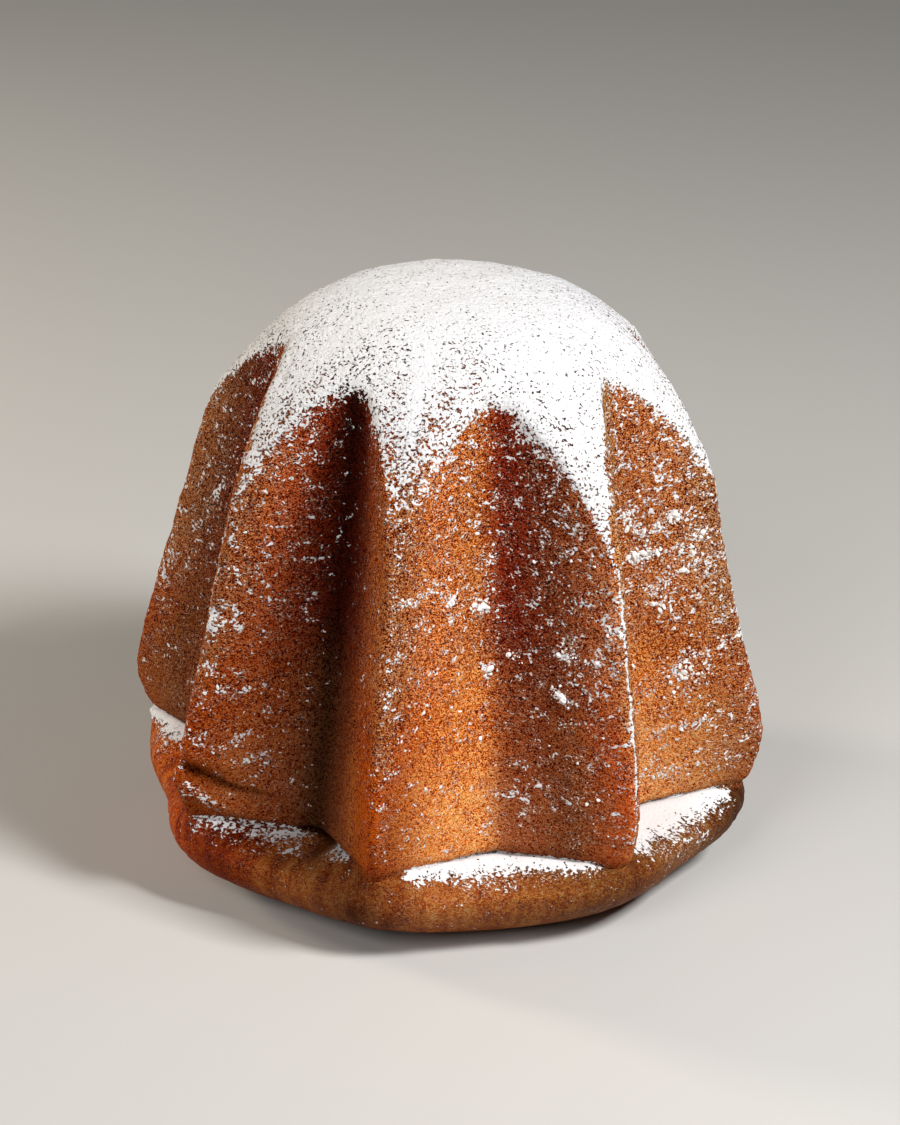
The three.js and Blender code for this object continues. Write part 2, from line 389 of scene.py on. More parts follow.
@dataclass(frozen=True)
class LoafForm:
    """The loaf's sizes in millimetres, the same as those of its solid.

    A tuple of eight has one entry for each ridge or valley, in order of bearing.
    """

    ridges: int = 8
    front_bearing: float = math.radians(-11.5)
    front_index: int = 2
    ridge_turn_deg: tuple[float, ...] = (1.4, 3.2, -0.3, 1.8, -0.1, -1.5, 1.5, -1.0)
    shoulder_share: tuple[float, ...] = (0.935, 0.948, 1.0, 1.0, 0.948, 0.98, 1.0, 0.965)
    stations: tuple[Station, ...] = (
        Station(20, 99.0, 79.0),
        Station(32, 106.5, 78.4),
        Station(51, 110.0, 76.0),
        Station(100, 99.7, 68.5),
        Station(157, 88.3, 61.2),
        Station(205, 78.6, 55.0),
    )
    belly_height: float = 51
    shoulder_height: float = 157
    ridge_fillet: float = 3
    valley_fillet: float = 12
    crown_height: float = 198.4
    crown_drop: float = 49.4
    crown_drop_reach: float = 85
    crown_power: float = 3
    shoulder_cut: float = 5
    ridge_crease: tuple[float, ...] = (33.5, 32.2, 31.2, 27.5, 28, 29, 30.5, 31.5)
    valley_crease: tuple[float, ...] = (31, 27.2, 26.2, 26.2, 27, 27.5, 28, 29)
    crease_valley_depth: float = 3.6
    crease_ridge_depth: float = 0.8
    crease_width: float = 3.5
    lip_height: float = 21.5
    lip_valley_reach: float = 99.0
    lip_even_reach: float = 101.2
    ridge_lip: tuple[float, ...] = (105.8, 106, 106.3, 104, 105.2, 106, 106.3, 105.6)
    lip_clearance: float = 1.2
    lip_top_power: float = 1.85
    lip_under_power: float = 1.9
    base_radius: float = 68.5
    lower_wall_top: float = 62
    fold: Fold = Fold()
    column_closeness: float = 0.62
    sways: tuple[Sway, ...] = (
        Sway(0.7, 2, 0.6, 0.4),
        Sway(0.5, 3, -1.1, 2.1),
        Sway(0.4, 5, 1.7, 4.0),
    )

    def ridge_bearing(self, index: int) -> float:
        """Bearing of a ridge, counted on past the last one without wrapping."""
        even = self.front_bearing + (index - self.front_index) * FULL_TURN / self.ridges
        return even + math.radians(self.ridge_turn_deg[index % self.ridges])

    def places(self, half_columns: int) -> Places:
        """Columns all round the loaf, closer together at the ridges.

        Args:
            half_columns: columns between a ridge and the valley beside it.

        Returns:
            The columns in order of bearing.
        """
        t = np.arange(half_columns) / half_columns
        shares = t * (self.column_closeness + (1 - self.column_closeness) * t)
        rows = []
        for ridge in range(self.ridges):
            here = self.ridge_bearing(ridge)
            there = self.ridge_bearing(ridge + 1)
            half = (there - here) / 2
            for share in shares:
                rows.append((ridge, 1, ridge, share, half, here + share * half))
            for share in [1.0, *shares[:0:-1]]:
                next_ridge = (ridge + 1) % self.ridges
                rows.append((next_ridge, -1, ridge, share, half, there - share * half))
        ridges, side, valley, share, half_pitch, bearing = (np.array(c) for c in zip(*rows))
        weight = 0.5 + 0.5 * np.cos(math.pi * share)
        return Places(ridges, side, valley, share, half_pitch, bearing, weight)

    def station_curve(self, column: str, height: Numbers) -> Numbers:
        """A smooth curve through one column of the wall's stations.

        Args:
            column: "ridge" or "valley".
            height: heights to read it at.

        Returns:
            The reach at those heights.
        """
        heights = np.array([s.height for s in self.stations], dtype=float)
        values = np.array([getattr(s, column) for s in self.stations], dtype=float)
        slopes = np.empty_like(values)
        slopes[1:-1] = (values[2:] - values[:-2]) / (heights[2:] - heights[:-2])
        slopes[0] = (values[1] - values[0]) / (heights[1] - heights[0])
        slopes[-1] = (values[-1] - values[-2]) / (heights[-1] - heights[-2])
        index = np.clip(np.searchsorted(heights, height, side="right") - 1, 0, len(heights) - 2)
        span = heights[index + 1] - heights[index]
        t = clamp_share((height - heights[index]) / span)
        start = (2 * t**3 - 3 * t**2 + 1) * values[index] + (t**3 - 2 * t**2 + t) * span * slopes[index]
        end = (3 * t**2 - 2 * t**3) * values[index + 1] + (t**3 - t**2) * span * slopes[index + 1]
        return start + end

    def star_reach(self, offset: Numbers, half: Numbers, ridge: Numbers, valley: Numbers) -> Numbers:
        """Reach of one face of the star, with its ridge and valley rounded.

        Args:
            offset: turn away from the ridge.
            half: half the turn between two ridges.
            ridge: reach of the ridge.
            valley: reach of the valley.

        Returns:
            The distance from the middle to the face.
        """
        cos_half, sin_half = np.cos(half), np.sin(half)
        sharp_ridge, sharp_valley = ridge, valley
        for _ in range(3):
            edge_x = sharp_valley * cos_half - sharp_ridge
            edge_y = sharp_valley * sin_half
            length = np.hypot(edge_x, edge_y)
            normal_x, normal_y = edge_y / length, -edge_x / length
            toward_valley = normal_x * cos_half + normal_y * sin_half
            sharp_ridge = ridge + self.ridge_fillet * (1 / normal_x - 1)
            sharp_valley = valley - self.valley_fillet * (1 / toward_valley - 1)
        face = normal_x * sharp_ridge
        ridge_centre = (face - self.ridge_fillet) / normal_x
        ridge_end = np.arctan2(self.ridge_fillet * normal_y, ridge_centre + self.ridge_fillet * normal_x)
        ridge_side = np.maximum(self.ridge_fillet**2 - (ridge_centre * np.sin(offset)) ** 2, 0)
        on_ridge = ridge_centre * np.cos(offset) + np.sqrt(ridge_side)
        valley_centre = (face + self.valley_fillet) / toward_valley
        touch_x = valley_centre * cos_half - self.valley_fillet * normal_x
        touch_y = valley_centre * sin_half - self.valley_fillet * normal_y
        past = half - offset
        valley_side = np.maximum(self.valley_fillet**2 - (valley_centre * np.sin(past)) ** 2, 0)
        in_valley = valley_centre * np.cos(past) - np.sqrt(valley_side)
        straight = face / (normal_x * np.cos(offset) + normal_y * np.sin(offset))
        curved = np.where(offset > np.arctan2(touch_y, touch_x), in_valley, straight)
        return np.where(offset < ridge_end, on_ridge, curved)

    def sway(self, bearing: Numbers, height: Any) -> Numbers:
        """Slow waves that keep the loaf from being even."""
        total = 0 * bearing
        for wave in self.sways:
            turns = FULL_TURN * wave.up * height / self.crown_height
            total = total + wave.size * np.cos(wave.around * bearing + turns + wave.start)
        return total

    def fold_shift(self, bearing: Numbers, height: Numbers) -> Numbers:
        """The extra fold at the foot of the second ridge: a groove over a soft bulge.

        Args:
            bearing: bearings of the points.
            height: heights of the points.

        Returns:
            How far the wall moves out.
        """
        fold = self.fold
        start, end, fade = (math.radians(t) for t in (fold.from_deg, fold.to_deg, fold.fade_deg))
        strength = rise(bearing, start, fade) * rise(-bearing, -end, fade)
        across = clamp_share((bearing - start) / (end - start))
        above = height - mix(fold.from_height, fold.to_height, across)
        bulge = fold.bulge_height * hump(above + fold.bulge_below, fold.bulge_width)
        return strength * (bulge - fold.groove_depth * hump(above, fold.groove_width))

    def wall_reach(self, places: Places, height: Numbers) -> Numbers:
        """Reach of the fluted wall at each column, for a grid of heights."""
        shoulder = clamp_share((height - self.belly_height) / (self.shoulder_height - self.belly_height))
        factor = mix(1.0, np.array(self.shoulder_share)[places.ridge][:, None], shoulder)
        ridge = self.station_curve("ridge", height) * factor
        valley = self.station_curve("valley", height)
        half = places.half_pitch[:, None]
        offset = places.share[:, None] * half
        bearing = places.bearing[:, None]
        star = self.star_reach(offset, half, ridge, valley)
        return star + self.sway(bearing, height) + self.fold_shift(bearing, height)

    def crown(self, reach: Numbers) -> Numbers:
        """Height of the domed crown at a reach."""
        return self.crown_height - self.crown_drop * (reach / self.crown_drop_reach) ** self.crown_power

    def lip_reach(self, places: Places) -> Numbers:
        """The lip's own outline, nearly round."""
        ridge_reach = np.array(self.ridge_lip)[places.ridge]
        even = mix(self.lip_valley_reach, ridge_reach, places.ridge_weight)
        return (even + self.sway(places.bearing, 0.0))[:, None]

    def crease(self, places: Places) -> Numbers:
        """Height of the crease between wall and lip."""
        ridge = np.array(self.ridge_crease)[places.ridge]
        valley = np.array(self.valley_crease, dtype=float)[places.valley]
        return mix(valley, ridge, places.ridge_weight)[:, None]

    def tucked_reach(self, places: Places, height: Numbers) -> Numbers:
        """Reach of the wall, drawn in toward the crease."""
        crease = self.crease(places)
        overhang = self.wall_reach(places, crease) - self.lip_reach(places) + self.lip_clearance
        weight = places.ridge_weight[:, None]
        depth = np.maximum(mix(self.crease_valley_depth, self.crease_ridge_depth, weight), overhang)
        return self.wall_reach(places, height) - depth * np.exp(-(height - crease) / self.crease_width)


@dataclass(frozen=True)
class SkinSteps:
    """How finely the skin is divided."""

    half_columns: int = 32
    crown: int = 46
    shoulder: int = 8
    upper_wall: int = 60
    lower_wall: int = 26
    lip_top: int = 18
    lip_under: int = 22
    base: int = 4
    crown_spread: float = 0.85
    shoulder_rounds: int = 20


@dataclass
class Skin:
    """The whole skin as a grid of columns and rows, in millimetres."""

    form: LoafForm
    steps: SkinSteps
    places: Places = field(init=False)
    reach: Numbers = field(init=False)
    height: Numbers = field(init=False)
    shoulder_row: int = field(init=False)
    crease_row: int = field(init=False)

    def __post_init__(self) -> None:
        """Works out every profile, from the middle of the crown to the base."""
        self.places = self.form.places(self.steps.half_columns)
        shoulder = self.shoulder_point()
        parts = [self.crown_rows(shoulder), self.shoulder_rows(shoulder)]
        parts += [self.wall_rows(shoulder[1] - self.form.shoulder_cut), self.lip_rows(), self.base_rows()]
        self.reach = np.concatenate([part[0] for part in parts], axis=1)
        self.height = np.concatenate([part[1] for part in parts], axis=1)
        self.shoulder_row = self.steps.crown + self.steps.shoulder // 2
        wall_end = self.steps.upper_wall + self.steps.lower_wall
        self.crease_row = self.steps.crown + self.steps.shoulder + wall_end - 1

    def shoulder_point(self) -> tuple[Numbers, Numbers]:
        """Reach and height where crown and wall would meet in a sharp edge."""
        height = np.full((len(self.places.bearing), 1), self.form.shoulder_height, dtype=float)
        for _ in range(self.steps.shoulder_rounds):
            height = mix(height, self.form.crown(self.form.wall_reach(self.places, height)), 0.5)
        return self.form.wall_reach(self.places, height), height

    def crown_rows(self, shoulder: tuple[Numbers, Numbers]) -> tuple[Numbers, Numbers]:
        """Rings of the crown, without its middle point."""
        share = row_shares(self.steps.crown) ** self.steps.crown_spread
        reach = (shoulder[0] - self.form.shoulder_cut) * share
        return reach, self.form.crown(reach)

    def shoulder_rows(self, shoulder: tuple[Numbers, Numbers]) -> tuple[Numbers, Numbers]:
        """The rounded edge from the crown to the wall."""
        t = row_shares(self.steps.shoulder)
        rim = shoulder[0] - self.form.shoulder_cut
        low = shoulder[1] - self.form.shoulder_cut
        wall = self.form.wall_reach(self.places, low)
        reach = mix(mix(rim, shoulder[0], t), mix(shoulder[0], wall, t), t)
        height = mix(mix(self.form.crown(rim), shoulder[1], t), mix(shoulder[1], low, t), t)
        return reach, height

    def wall_rows(self, top: Numbers) -> tuple[Numbers, Numbers]:
        """The fluted wall, from under the shoulder to the crease."""
        upper, lower = row_shares(self.steps.upper_wall), row_shares(self.steps.lower_wall)
        middle = self.form.lower_wall_top
        heights = [mix(top, middle, upper), mix(middle, self.form.crease(self.places), lower)]
        height = np.concatenate(heights, axis=1)
        return self.form.tucked_reach(self.places, height), height

    def lip_rows(self) -> tuple[Numbers, Numbers]:
        """The lip, from the crease over its top and round under it."""
        form, steps = self.form, self.steps
        foot_height = form.crease(self.places)
        foot = form.tucked_reach(self.places, foot_height)
        outer = form.lip_reach(self.places)
        across, along = rounded(1 - row_shares(steps.lip_top), form.lip_top_power)
        reaches = [mix(foot, outer, across)]
        heights = [mix(form.lip_height, foot_height, along)]
        across, along = rounded(row_shares(steps.lip_under), form.lip_under_power)
        reaches.append(mix(form.base_radius, mix(outer, form.lip_even_reach, along**2), across))
        heights.append(form.lip_height * (1 - along) + 0 * outer)
        return np.concatenate(reaches, axis=1), np.concatenate(heights, axis=1)

    def base_rows(self) -> tuple[Numbers, Numbers]:
        """Rings of the flat base, without its middle point."""
        share = 1 - row_shares(self.steps.base)[:, :-1]
        reach = self.form.base_radius * share + np.zeros((len(self.places.bearing), 1))
        return reach, 0 * reach

    def points(self) -> Numbers:
        """Every point of the grid as X, Y and Z."""
        bearing = self.places.bearing[:, None]
        return np.stack([self.reach * np.sin(bearing), -self.reach * np.cos(bearing), self.height], axis=-1)

    def normals(self, points: Numbers) -> Numbers:
        """Outward directions at the points of the grid."""
        around = np.roll(points, -1, axis=0) - np.roll(points, 1, axis=0)
        down = np.gradient(points, axis=1)
        across = np.cross(down, around)
        return across / np.maximum(np.linalg.norm(across, axis=-1, keepdims=True), 1e-9)

    def distance_from(self, row: int) -> Numbers:
        """Length along each profile from one of its rows, negative toward the crown."""
        steps = np.hypot(np.diff(self.reach, axis=1), np.diff(self.height, axis=1))
        along = np.concatenate([np.zeros((len(steps), 1)), np.cumsum(steps, axis=1)], axis=1)
        return along - along[:, row : row + 1]


# ----------------------------------------------------- relief, sugar and baking


@dataclass(frozen=True)
class FaceSugar:
    """Sugar on the face beside one ridge.

    The layer's end is a length in millimetres, down from the shoulder. The amounts on the crown's
    rim and on the wall count 0 as bare and 1 as a closed layer.
    """

    ridge: int
    side: Side
    layer_end_at_ridge: float
    layer_end_in_valley: float
    crown_at_ridge: float
    crown_in_valley: float
    wall_at_ridge: float
    wall_in_valley: float


@dataclass(frozen=True)
class FaceTone:
    """The crust's colour on the face beside one ridge, in rows that run from ridge to valley.

    Tones are painted light and shade, multiplied into its colour. Redness and amber are partly its own hue,
    partly painted shade colour.
    """

    ridge: int
    side: Side
    redness: tuple[float, float]
    amber: tuple[float, float]
    tones: tuple[float, float, float]


@dataclass(frozen=True)
class LipTone:
    """The lip's colour at one bearing, with near and far multiplying it near the crease and farther out:
    partly its own darker baking, partly painted light and shade.
    """

    bearing_deg: float
    near: float
    far: float
    redness: float
    amber: float


@dataclass(frozen=True)
class Patch:
    """A patch on the skin that is long one way, in millimetres.

    Rise lifts the skin there, sugar adds to its sugar, lumps gathers loose lumps, and dark is painted
    shade, which takes light from the crust; it is used in grooves.
    """

    bearing_deg: float
    height: float
    length: float
    width: float
    tilt_deg: float = 0.0
    rise: float = 0.0
    sugar: float = 0.0
    lumps: float = 0.0
    # Painted shade, used in the grooves of the folds and in a hollow at the crease.
    dark: float = 0.0


@dataclass(frozen=True)
class Drift:
    """Sugar that settled on the lip in one valley, between two shares of the valley's width."""

    valley: int
    from_share: float
    to_share: float
    peak_share: float
    reach: float
    amount: float


# The skin's bumps and grooves; the grooves carry painted shade in their dark value.
RELIEF_PATCHES = (
    Patch(-9.0, 71.0, 3.4, 3.0, 0, 0.9, 0.25),
    Patch(-9.6, 75.5, 3.6, 1.0, 20, -0.5),
    Patch(-52.6, 104.8, 2.6, 2.4, 0, -1.3, 0.5),
    Patch(-52.4, 100.4, 2.4, 2.4, 0, 0.9, 0.5),
    Patch(-52.2, 87.1, 2.0, 2.0, 0, -0.8, 0.3),
    Patch(-11.3, 104.5, 2.4, 2.4, 0, -1.0, 0.3),
    Patch(-88.0, 28.0, 8.0, 4.0, -20, 1.8, 0.35),
    Patch(-50.6, 49.5, 8.0, 1.1, -38, -2.2, -0.4, 0.0, 0.6),
    Patch(-45.0, 43.5, 7.0, 1.0, -22, -1.3, -0.4, 0.0, 0.5),
    Patch(-49.5, 53.5, 8.0, 3.0, -34, 0.7),
    Patch(-49.0, 40.5, 10.0, 3.6, -42, 1.5, 0.0),
    Patch(-31.0, 28.6, 6.0, 1.9, -8, -2.2, -1.0, 0.0, 0.8),
)

SUGAR_PATCHES = (
    Patch(-49.4, 40.5, 8.5, 2.6, -44, 0.3, 0.62),
    Patch(60.3, 130.6, 3.0, 1.8, 25, 0.2, 0.42, 1.0),
    Patch(63.0, 126.0, 4.0, 1.6, -10, 0.2, 0.42, 1.0),
    Patch(68.0, 125.8, 2.4, 1.4, 20, 0.4, 0.55, 1.0),
    Patch(70.8, 128.6, 2.2, 1.8, 0, 0.4, 0.55, 1.0),
    Patch(74.2, 121.8, 3.0, 1.6, 0, 0.1, 0.3, 0.5),
    Patch(64.6, 116.7, 5.0, 1.6, 6, 0.2, 0.5, 1.0),
    Patch(72.6, 116.4, 7.0, 0.6, 12, 0.2, 0.6, 0.6),
    Patch(72.6, 111.0, 7.0, 3.0, 10, 0.1, 0.16, 0.2),
    Patch(66.5, 105.2, 5.0, 2.6, 20, 0.1, 0.2, 0.3),
    Patch(66.4, 98.6, 4.0, 2.6, 0, 0.1, 0.25, 0.4),
    Patch(70.0, 75.5, 9.0, 4.5, 20, 0.1, 0.3, 0.2),
    Patch(68.1, 65.7, 4.0, 2.4, 0, 0.1, 0.4, 0.3),
    Patch(77.1, 84.2, 4.0, 2.0, 15, 0.1, 0.4, 0.3),
    Patch(68.9, 55.8, 7.0, 2.2, 6, 0.1, 0.4, 0.2),
    Patch(67.4, 39.6, 14.0, 2.6, 2, 0.2, 0.42, 0.1),
    Patch(34.2, 112.0, 3.0, 1.6, 30, 0.3, 0.6, 0.8),
    Patch(32.0, 98.7, 3.0, 1.2, 0, 0.1, 0.4, 0.5),
    Patch(27.2, 99.9, 3.0, 1.2, 0, 0.1, 0.45, 0.6),
    Patch(25.8, 85.5, 2.6, 2.0, -40, 0.3, 0.75, 0.9),
    Patch(17.6, 96.8, 4.0, 1.2, 8, 0.1, 0.5, 0.6),
    Patch(21.0, 54.5, 8.0, 2.0, -8, 0.1, 0.46, 0.1),
    Patch(14.0, 50.5, 6.0, 2.0, -12, 0.1, 0.42, 0.1),
    Patch(25.2, 52.0, 7.0, 2.0, 4, 0.1, 0.42, 0.1),
    Patch(19.0, 47.0, 9.0, 2.2, -6, 0.0, 0.28, 0.0),
    Patch(10.9, 91.2, 3.8, 1.5, -25, 0.4, 0.8, 0.9),
    Patch(8.9, 113.1, 3.0, 2.2, 10, 0.1, 0.45, 0.7),
    Patch(11.0, 127.8, 2.6, 4.0, 0, 0.1, 0.4, 0.8),
    Patch(0.7, 118.5, 3.2, 3.0, -30, 0.1, 0.4, 0.5),
    Patch(-5.9, 123.4, 6.0, 1.5, 18, 0.1, 0.5, 0.4),
    Patch(-4.4, 33.0, 5.0, 1.6, 25, 0.1, 0.5, 0.1),
    Patch(-0.5, 34.0, 5.0, 1.8, 30, 0.1, 0.5, 0.1),
    Patch(10.9, 43.0, 1.8, 9.0, 0, 0.0, 0.36, 0.0),
    Patch(-45.0, 62.0, 8.0, 2.2, 22, 0.1, 0.42, 0.1),
    Patch(-43.6, 55.0, 7.0, 2.2, 12, 0.1, 0.42, 0.1),
    Patch(-48.0, 78.9, 6.0, 1.0, 6, 0.1, 0.5, 0.3),
    Patch(-52.6, 63.5, 4.0, 1.6, 0, 0.1, 0.5, 0.2),
    Patch(-40.5, 123.0, 3.6, 1.0, 0, 0.1, 0.55, 0.6),
    Patch(-98.0, 88.0, 2.5, 8.0, 0, 0.0, 0.3, 0.1),
)


@dataclass
class SkinDetail:
    """Relief, sugar, baking and painted light and shade, worked out for each point of the skin.

    Down is the length from the crease, outward over the lip, and edge the length down from the
    shoulder. Share runs from 0 at a ridge to 1 in a valley, and lip from 0 on the wall to 1.
    """

    skin: Skin
    seed: int = 11
    hidden_patches: int = 46
    hidden_rise: float = 0.1
    long_wrinkles: int = 15
    cross_wrinkles: int = 4
    swell_above: float = 6.0
    swell_width: float = 3.4
    groove_above: float = 1.6
    groove_width: float = 1.3
    crease_at_ridge: float = 0.25
    layer_fade: float = 8.5
    rim_width: float = 58
    inward_pace: float = 2.2
    crown_middle: float = 0.86
    bare_lip: float = -0.45
    bare_foot: float = -0.6
    drift_drop: float = 0.2
    dark_wall: float = 0.49
    dark_lip: float = 0.54
    lip_coarseness: float = 0.42
    patch_sugar: float = 0.68
    ridge_line_amounts: tuple[float, ...] = (0.2, 0.2, 0.0, 0.6, 0.35, 0.2, 0.3, 0.2)
    faces: tuple[FaceSugar, ...] = (
        FaceSugar(0, Side.RIGHT, -0.5, 1.5, 0.68, 0.76, 0.14, 0.02),
        FaceSugar(1, Side.LEFT, -8.5, -1.0, 0.64, 0.74, 0.22, 0.04),
        FaceSugar(1, Side.RIGHT, 3.5, 2.5, 0.54, 0.70, 0.12, 0.0),
        FaceSugar(2, Side.LEFT, -9.0, 2.0, 0.36, 0.70, -0.08, -0.14),
        FaceSugar(2, Side.RIGHT, -2.0, 6.0, 0.37, 0.68, 0.12, 0.14),
        FaceSugar(3, Side.LEFT, 1.0, 5.0, 0.64, 0.76, 0.20, 0.05),
        FaceSugar(3, Side.RIGHT, -14.0, 1.5, 0.70, 0.80, 0.14, 0.14),
        FaceSugar(4, Side.LEFT, 3.0, 3.5, 0.74, 0.84, 0.24, 0.14),
    )
    other_faces: FaceSugar = FaceSugar(0, Side.LEFT, -1.5, 2.5, 0.68, 0.76, 0.22, 0.1)
    # Painted light and shade by face in tones; redness and amber are partly painted shade colour on the
    # faces in shade.
    face_tones: tuple[FaceTone, ...] = (
        FaceTone(0, Side.RIGHT, (0.35, 0.95), (0.3, 0.5), (0.76, 0.38, 0.34)),
        FaceTone(1, Side.LEFT, (0.4, 0.4), (0.8, 0.5), (1.0, 1.0, 0.8)),
        FaceTone(1, Side.RIGHT, (0.5, 1.0), (0.6, 0.5), (0.62, 0.78, 0.08)),
        FaceTone(2, Side.LEFT, (0.45, 1.0), (1.0, 0.6), (0.84, 0.64, 0.065)),
        FaceTone(2, Side.RIGHT, (0.42, 0.35), (0.4, 0.6), (0.70, 1.28, 0.92)),
        FaceTone(3, Side.LEFT, (0.5, 1.0), (0.2, 0.5), (1.05, 0.41, 0.45)),
        FaceTone(3, Side.RIGHT, (0.1, 0.0), (0.1, 0.0), (0.94, 0.94, 0.86)),
        FaceTone(4, Side.LEFT, (0.28, 0.42), (0.0, 0.3), (0.70, 0.94, 0.86)),
    )
    other_tones: FaceTone = FaceTone(0, Side.LEFT, (0.3, 0.5), (0.2, 0.2), (0.9, 0.85, 0.6))
    # The lip by bearing: partly its own darker baking and partly painted light and shade.
    lip_tones: tuple[LipTone, ...] = (
        LipTone(-150, 0.7, 0.7, 0.3, 0.2),
        LipTone(-95, 0.68, 0.78, 0.4, 0.6),
        LipTone(-65, 0.82, 0.80, 0.4, 1.0),
        LipTone(-47, 0.22, 0.24, 0.75, 0.9),
        LipTone(-31, 0.75, 0.60, 0.1, 0.2),
        LipTone(-15, 0.26, 0.15, 0.3, 0.2),
        LipTone(-2, 0.55, 0.65, 0.2, 0.1),
        LipTone(15, 0.36, 0.55, 0.1, 0.0),
        LipTone(32, 0.33, 0.34, 0.0, 0.0),
        LipTone(48, 0.38, 0.38, 0.0, 0.0),
        LipTone(60, 0.44, 0.40, 0.0, 0.0),
        LipTone(75, 0.13, 0.12, 0.0, 0.0),
        LipTone(100, 0.3, 0.35, 0.1, 0.0),
        LipTone(150, 0.6, 0.6, 0.3, 0.1),
    )
    drifts: tuple[Drift, ...] = (
        Drift(0, -0.02, 0.94, 0.25, 13.0, 1.1),
        Drift(1, -0.02, 0.84, 0.45, 22.0, 0.78),
        Drift(2, 0.06, 0.96, 0.47, 22.0, 1.15),
        Drift(3, 0.11, 0.96, 0.5, 34.0, 1.2),
        Drift(4, 0.10, 0.90, 0.5, 19.0, 1.1),
        Drift(5, 0.12, 0.88, 0.4, 16.0, 0.95),
        Drift(6, 0.10, 0.92, 0.5, 20.0, 1.0),
        Drift(7, 0.14, 0.90, 0.6, 15.0, 0.9),
    )
    down: Numbers = field(init=False)
    edge: Numbers = field(init=False)
    share: Numbers = field(init=False)
    valley: Numbers = field(init=False)
    lip: Numbers = field(init=False)
    patches: tuple[Patch, ...] = field(init=False)

    def __post_init__(self) -> None:
        """Works out where each point is on the skin, and the patches on the hidden side."""
        self.down = self.skin.distance_from(self.skin.crease_row)
        self.edge = self.skin.distance_from(self.skin.shoulder_row)
        self.share = self.skin.places.share[:, None]
        self.valley = 1 - self.skin.places.ridge_weight[:, None]
        self.lip = rise(self.down, -1, 3)
        self.patches = (*SUGAR_PATCHES, *self.scattered_patches())

    def scattered_patches(self) -> list[Patch]:
        """Patches for the faces that no photograph shows, in the manner of the shown ones."""
        draw = np.random.default_rng(self.seed)
        found = []
        for _ in range(self.hidden_patches):
            bearing, height = draw.uniform(84, 258), draw.uniform(40, 138)
            length, width = draw.uniform(2.5, 8.5), draw.uniform(1.0, 2.6)
            tilt, sugar, lumps = draw.normal(0, 14), draw.uniform(0.35, 0.75), draw.uniform(0, 1)
            rise_mm = self.hidden_rise
            found.append(Patch(bearing, height, length, width, tilt, rise_mm, sugar, lumps))
        return found

    def patch_field(self, patch: Patch) -> Numbers:
        """Bell curve over one patch, for the whole skin."""
        turn = wrapped(self.skin.places.bearing[:, None] - math.radians(patch.bearing_deg), FULL_TURN)
        across, up = self.skin.reach * turn, self.skin.height - patch.height
        tilt = math.radians(patch.tilt_deg)
        along = (across * math.cos(tilt) + up * math.sin(tilt)) / patch.length
        beside = (up * math.cos(tilt) - across * math.sin(tilt)) / patch.width
        return np.exp(-((along**2 + beside**2) ** 1.5)) * (np.abs(turn) < 1.0)

    def patch_sum(self, patches: tuple[Patch, ...], size: str) -> Numbers:
        """Sum of one size of all the patches, such as their rise."""
        total = np.zeros_like(self.skin.reach)
        for patch in patches:
            if getattr(patch, size) != 0:
                total += getattr(patch, size) * self.patch_field(patch)
        return total

    def relief(self) -> Numbers:
        """How far each point moves out of the even skin, in millimetres."""
        patches = self.patch_sum(RELIEF_PATCHES, "rise") + self.patch_sum(self.patches, "rise")
        return patches + self.crease_relief() + self.wrinkles() + self.drift_relief()

    def crease_relief(self) -> Numbers:
        """A deeper crease in the valleys, with the wall swelling over it."""
        swell = hump(self.down + self.swell_above, self.swell_width)
        groove = hump(self.down + self.groove_above, self.groove_width)
        return (swell - groove) * mix(self.crease_at_ridge, 1.0, self.valley)

    def wrinkles(self) -> Numbers:
        """Fine wrinkles that run out over the lip, and a few across each ridge's foot."""
        draw = np.random.default_rng(self.seed)
        form, down = self.skin.form, self.down
        around = self.skin.places.bearing[:, None] * form.lip_even_reach
        circle = FULL_TURN * form.lip_even_reach
        total = np.zeros_like(down)
        for ridge in range(form.ridges):
            middle = form.ridge_bearing(ridge) * form.lip_even_reach
            for _ in range(self.long_wrinkles):
                start = middle + draw.normal(0, 16)
                lean = draw.normal(0, 0.25)
                length, top = draw.uniform(9, 26), draw.uniform(-2, 8)
                depth, width = draw.uniform(0.12, 0.42), draw.uniform(0.8, 1.5)
                side = wrapped(around - start - lean * down, circle)
                ends = rise(down, top, 4) * rise(-down, -(top + length), 8)
                total -= depth * hump(side, width) * ends
            for step in range(self.cross_wrinkles):
                level = -9 + 3.6 * step + draw.normal(0, 0.6)
                half, depth = draw.uniform(5, 9), draw.uniform(0.15, 0.4)
                side = wrapped(around - middle - draw.normal(0, 3), circle)
                total -= depth * hump(down - level - 0.12 * side, 0.8) * hump(side, half)
        return total

    def valley_share(self, drift: Drift) -> Numbers:
        """Place between the two ridges of a drift's valley, from 0 to 1, for each column."""
        form = self.skin.form
        left, right = form.ridge_bearing(drift.valley), form.ridge_bearing(drift.valley + 1)
        turn = (self.skin.places.bearing - left) % FULL_TURN
        return (turn / (right - left))[:, None]

    def drift_field(self, drift: Drift) -> Numbers:
        """Amount of one drift over the skin, from 0 to its full amount."""
        share = self.valley_share(drift)
        before = (share - drift.from_share) / (drift.peak_share - drift.from_share)
        after = (drift.to_share - share) / (drift.to_share - drift.peak_share)
        inside = clamp_share(np.minimum(before, after))
        reach = 1.0 + drift.reach * inside**0.7
        outward = clamp_share(1.25 * (reach - self.down) / reach + 0.12)
        return drift.amount * outward * rise(self.down, -2.6, 1.4) * smooth_step(inside * 6)

    def drift_relief(self) -> Numbers:
        """Thickness of the settled sugar."""
        total = np.zeros_like(self.down)
        for drift in self.drifts:
            thick = (1.2 * hump(self.down - 2.0, 5) + 0.3) * max(drift.amount - 0.4, 0.1)
            total += thick * self.drift_field(drift) * rise(self.down, -1, 2)
        return total

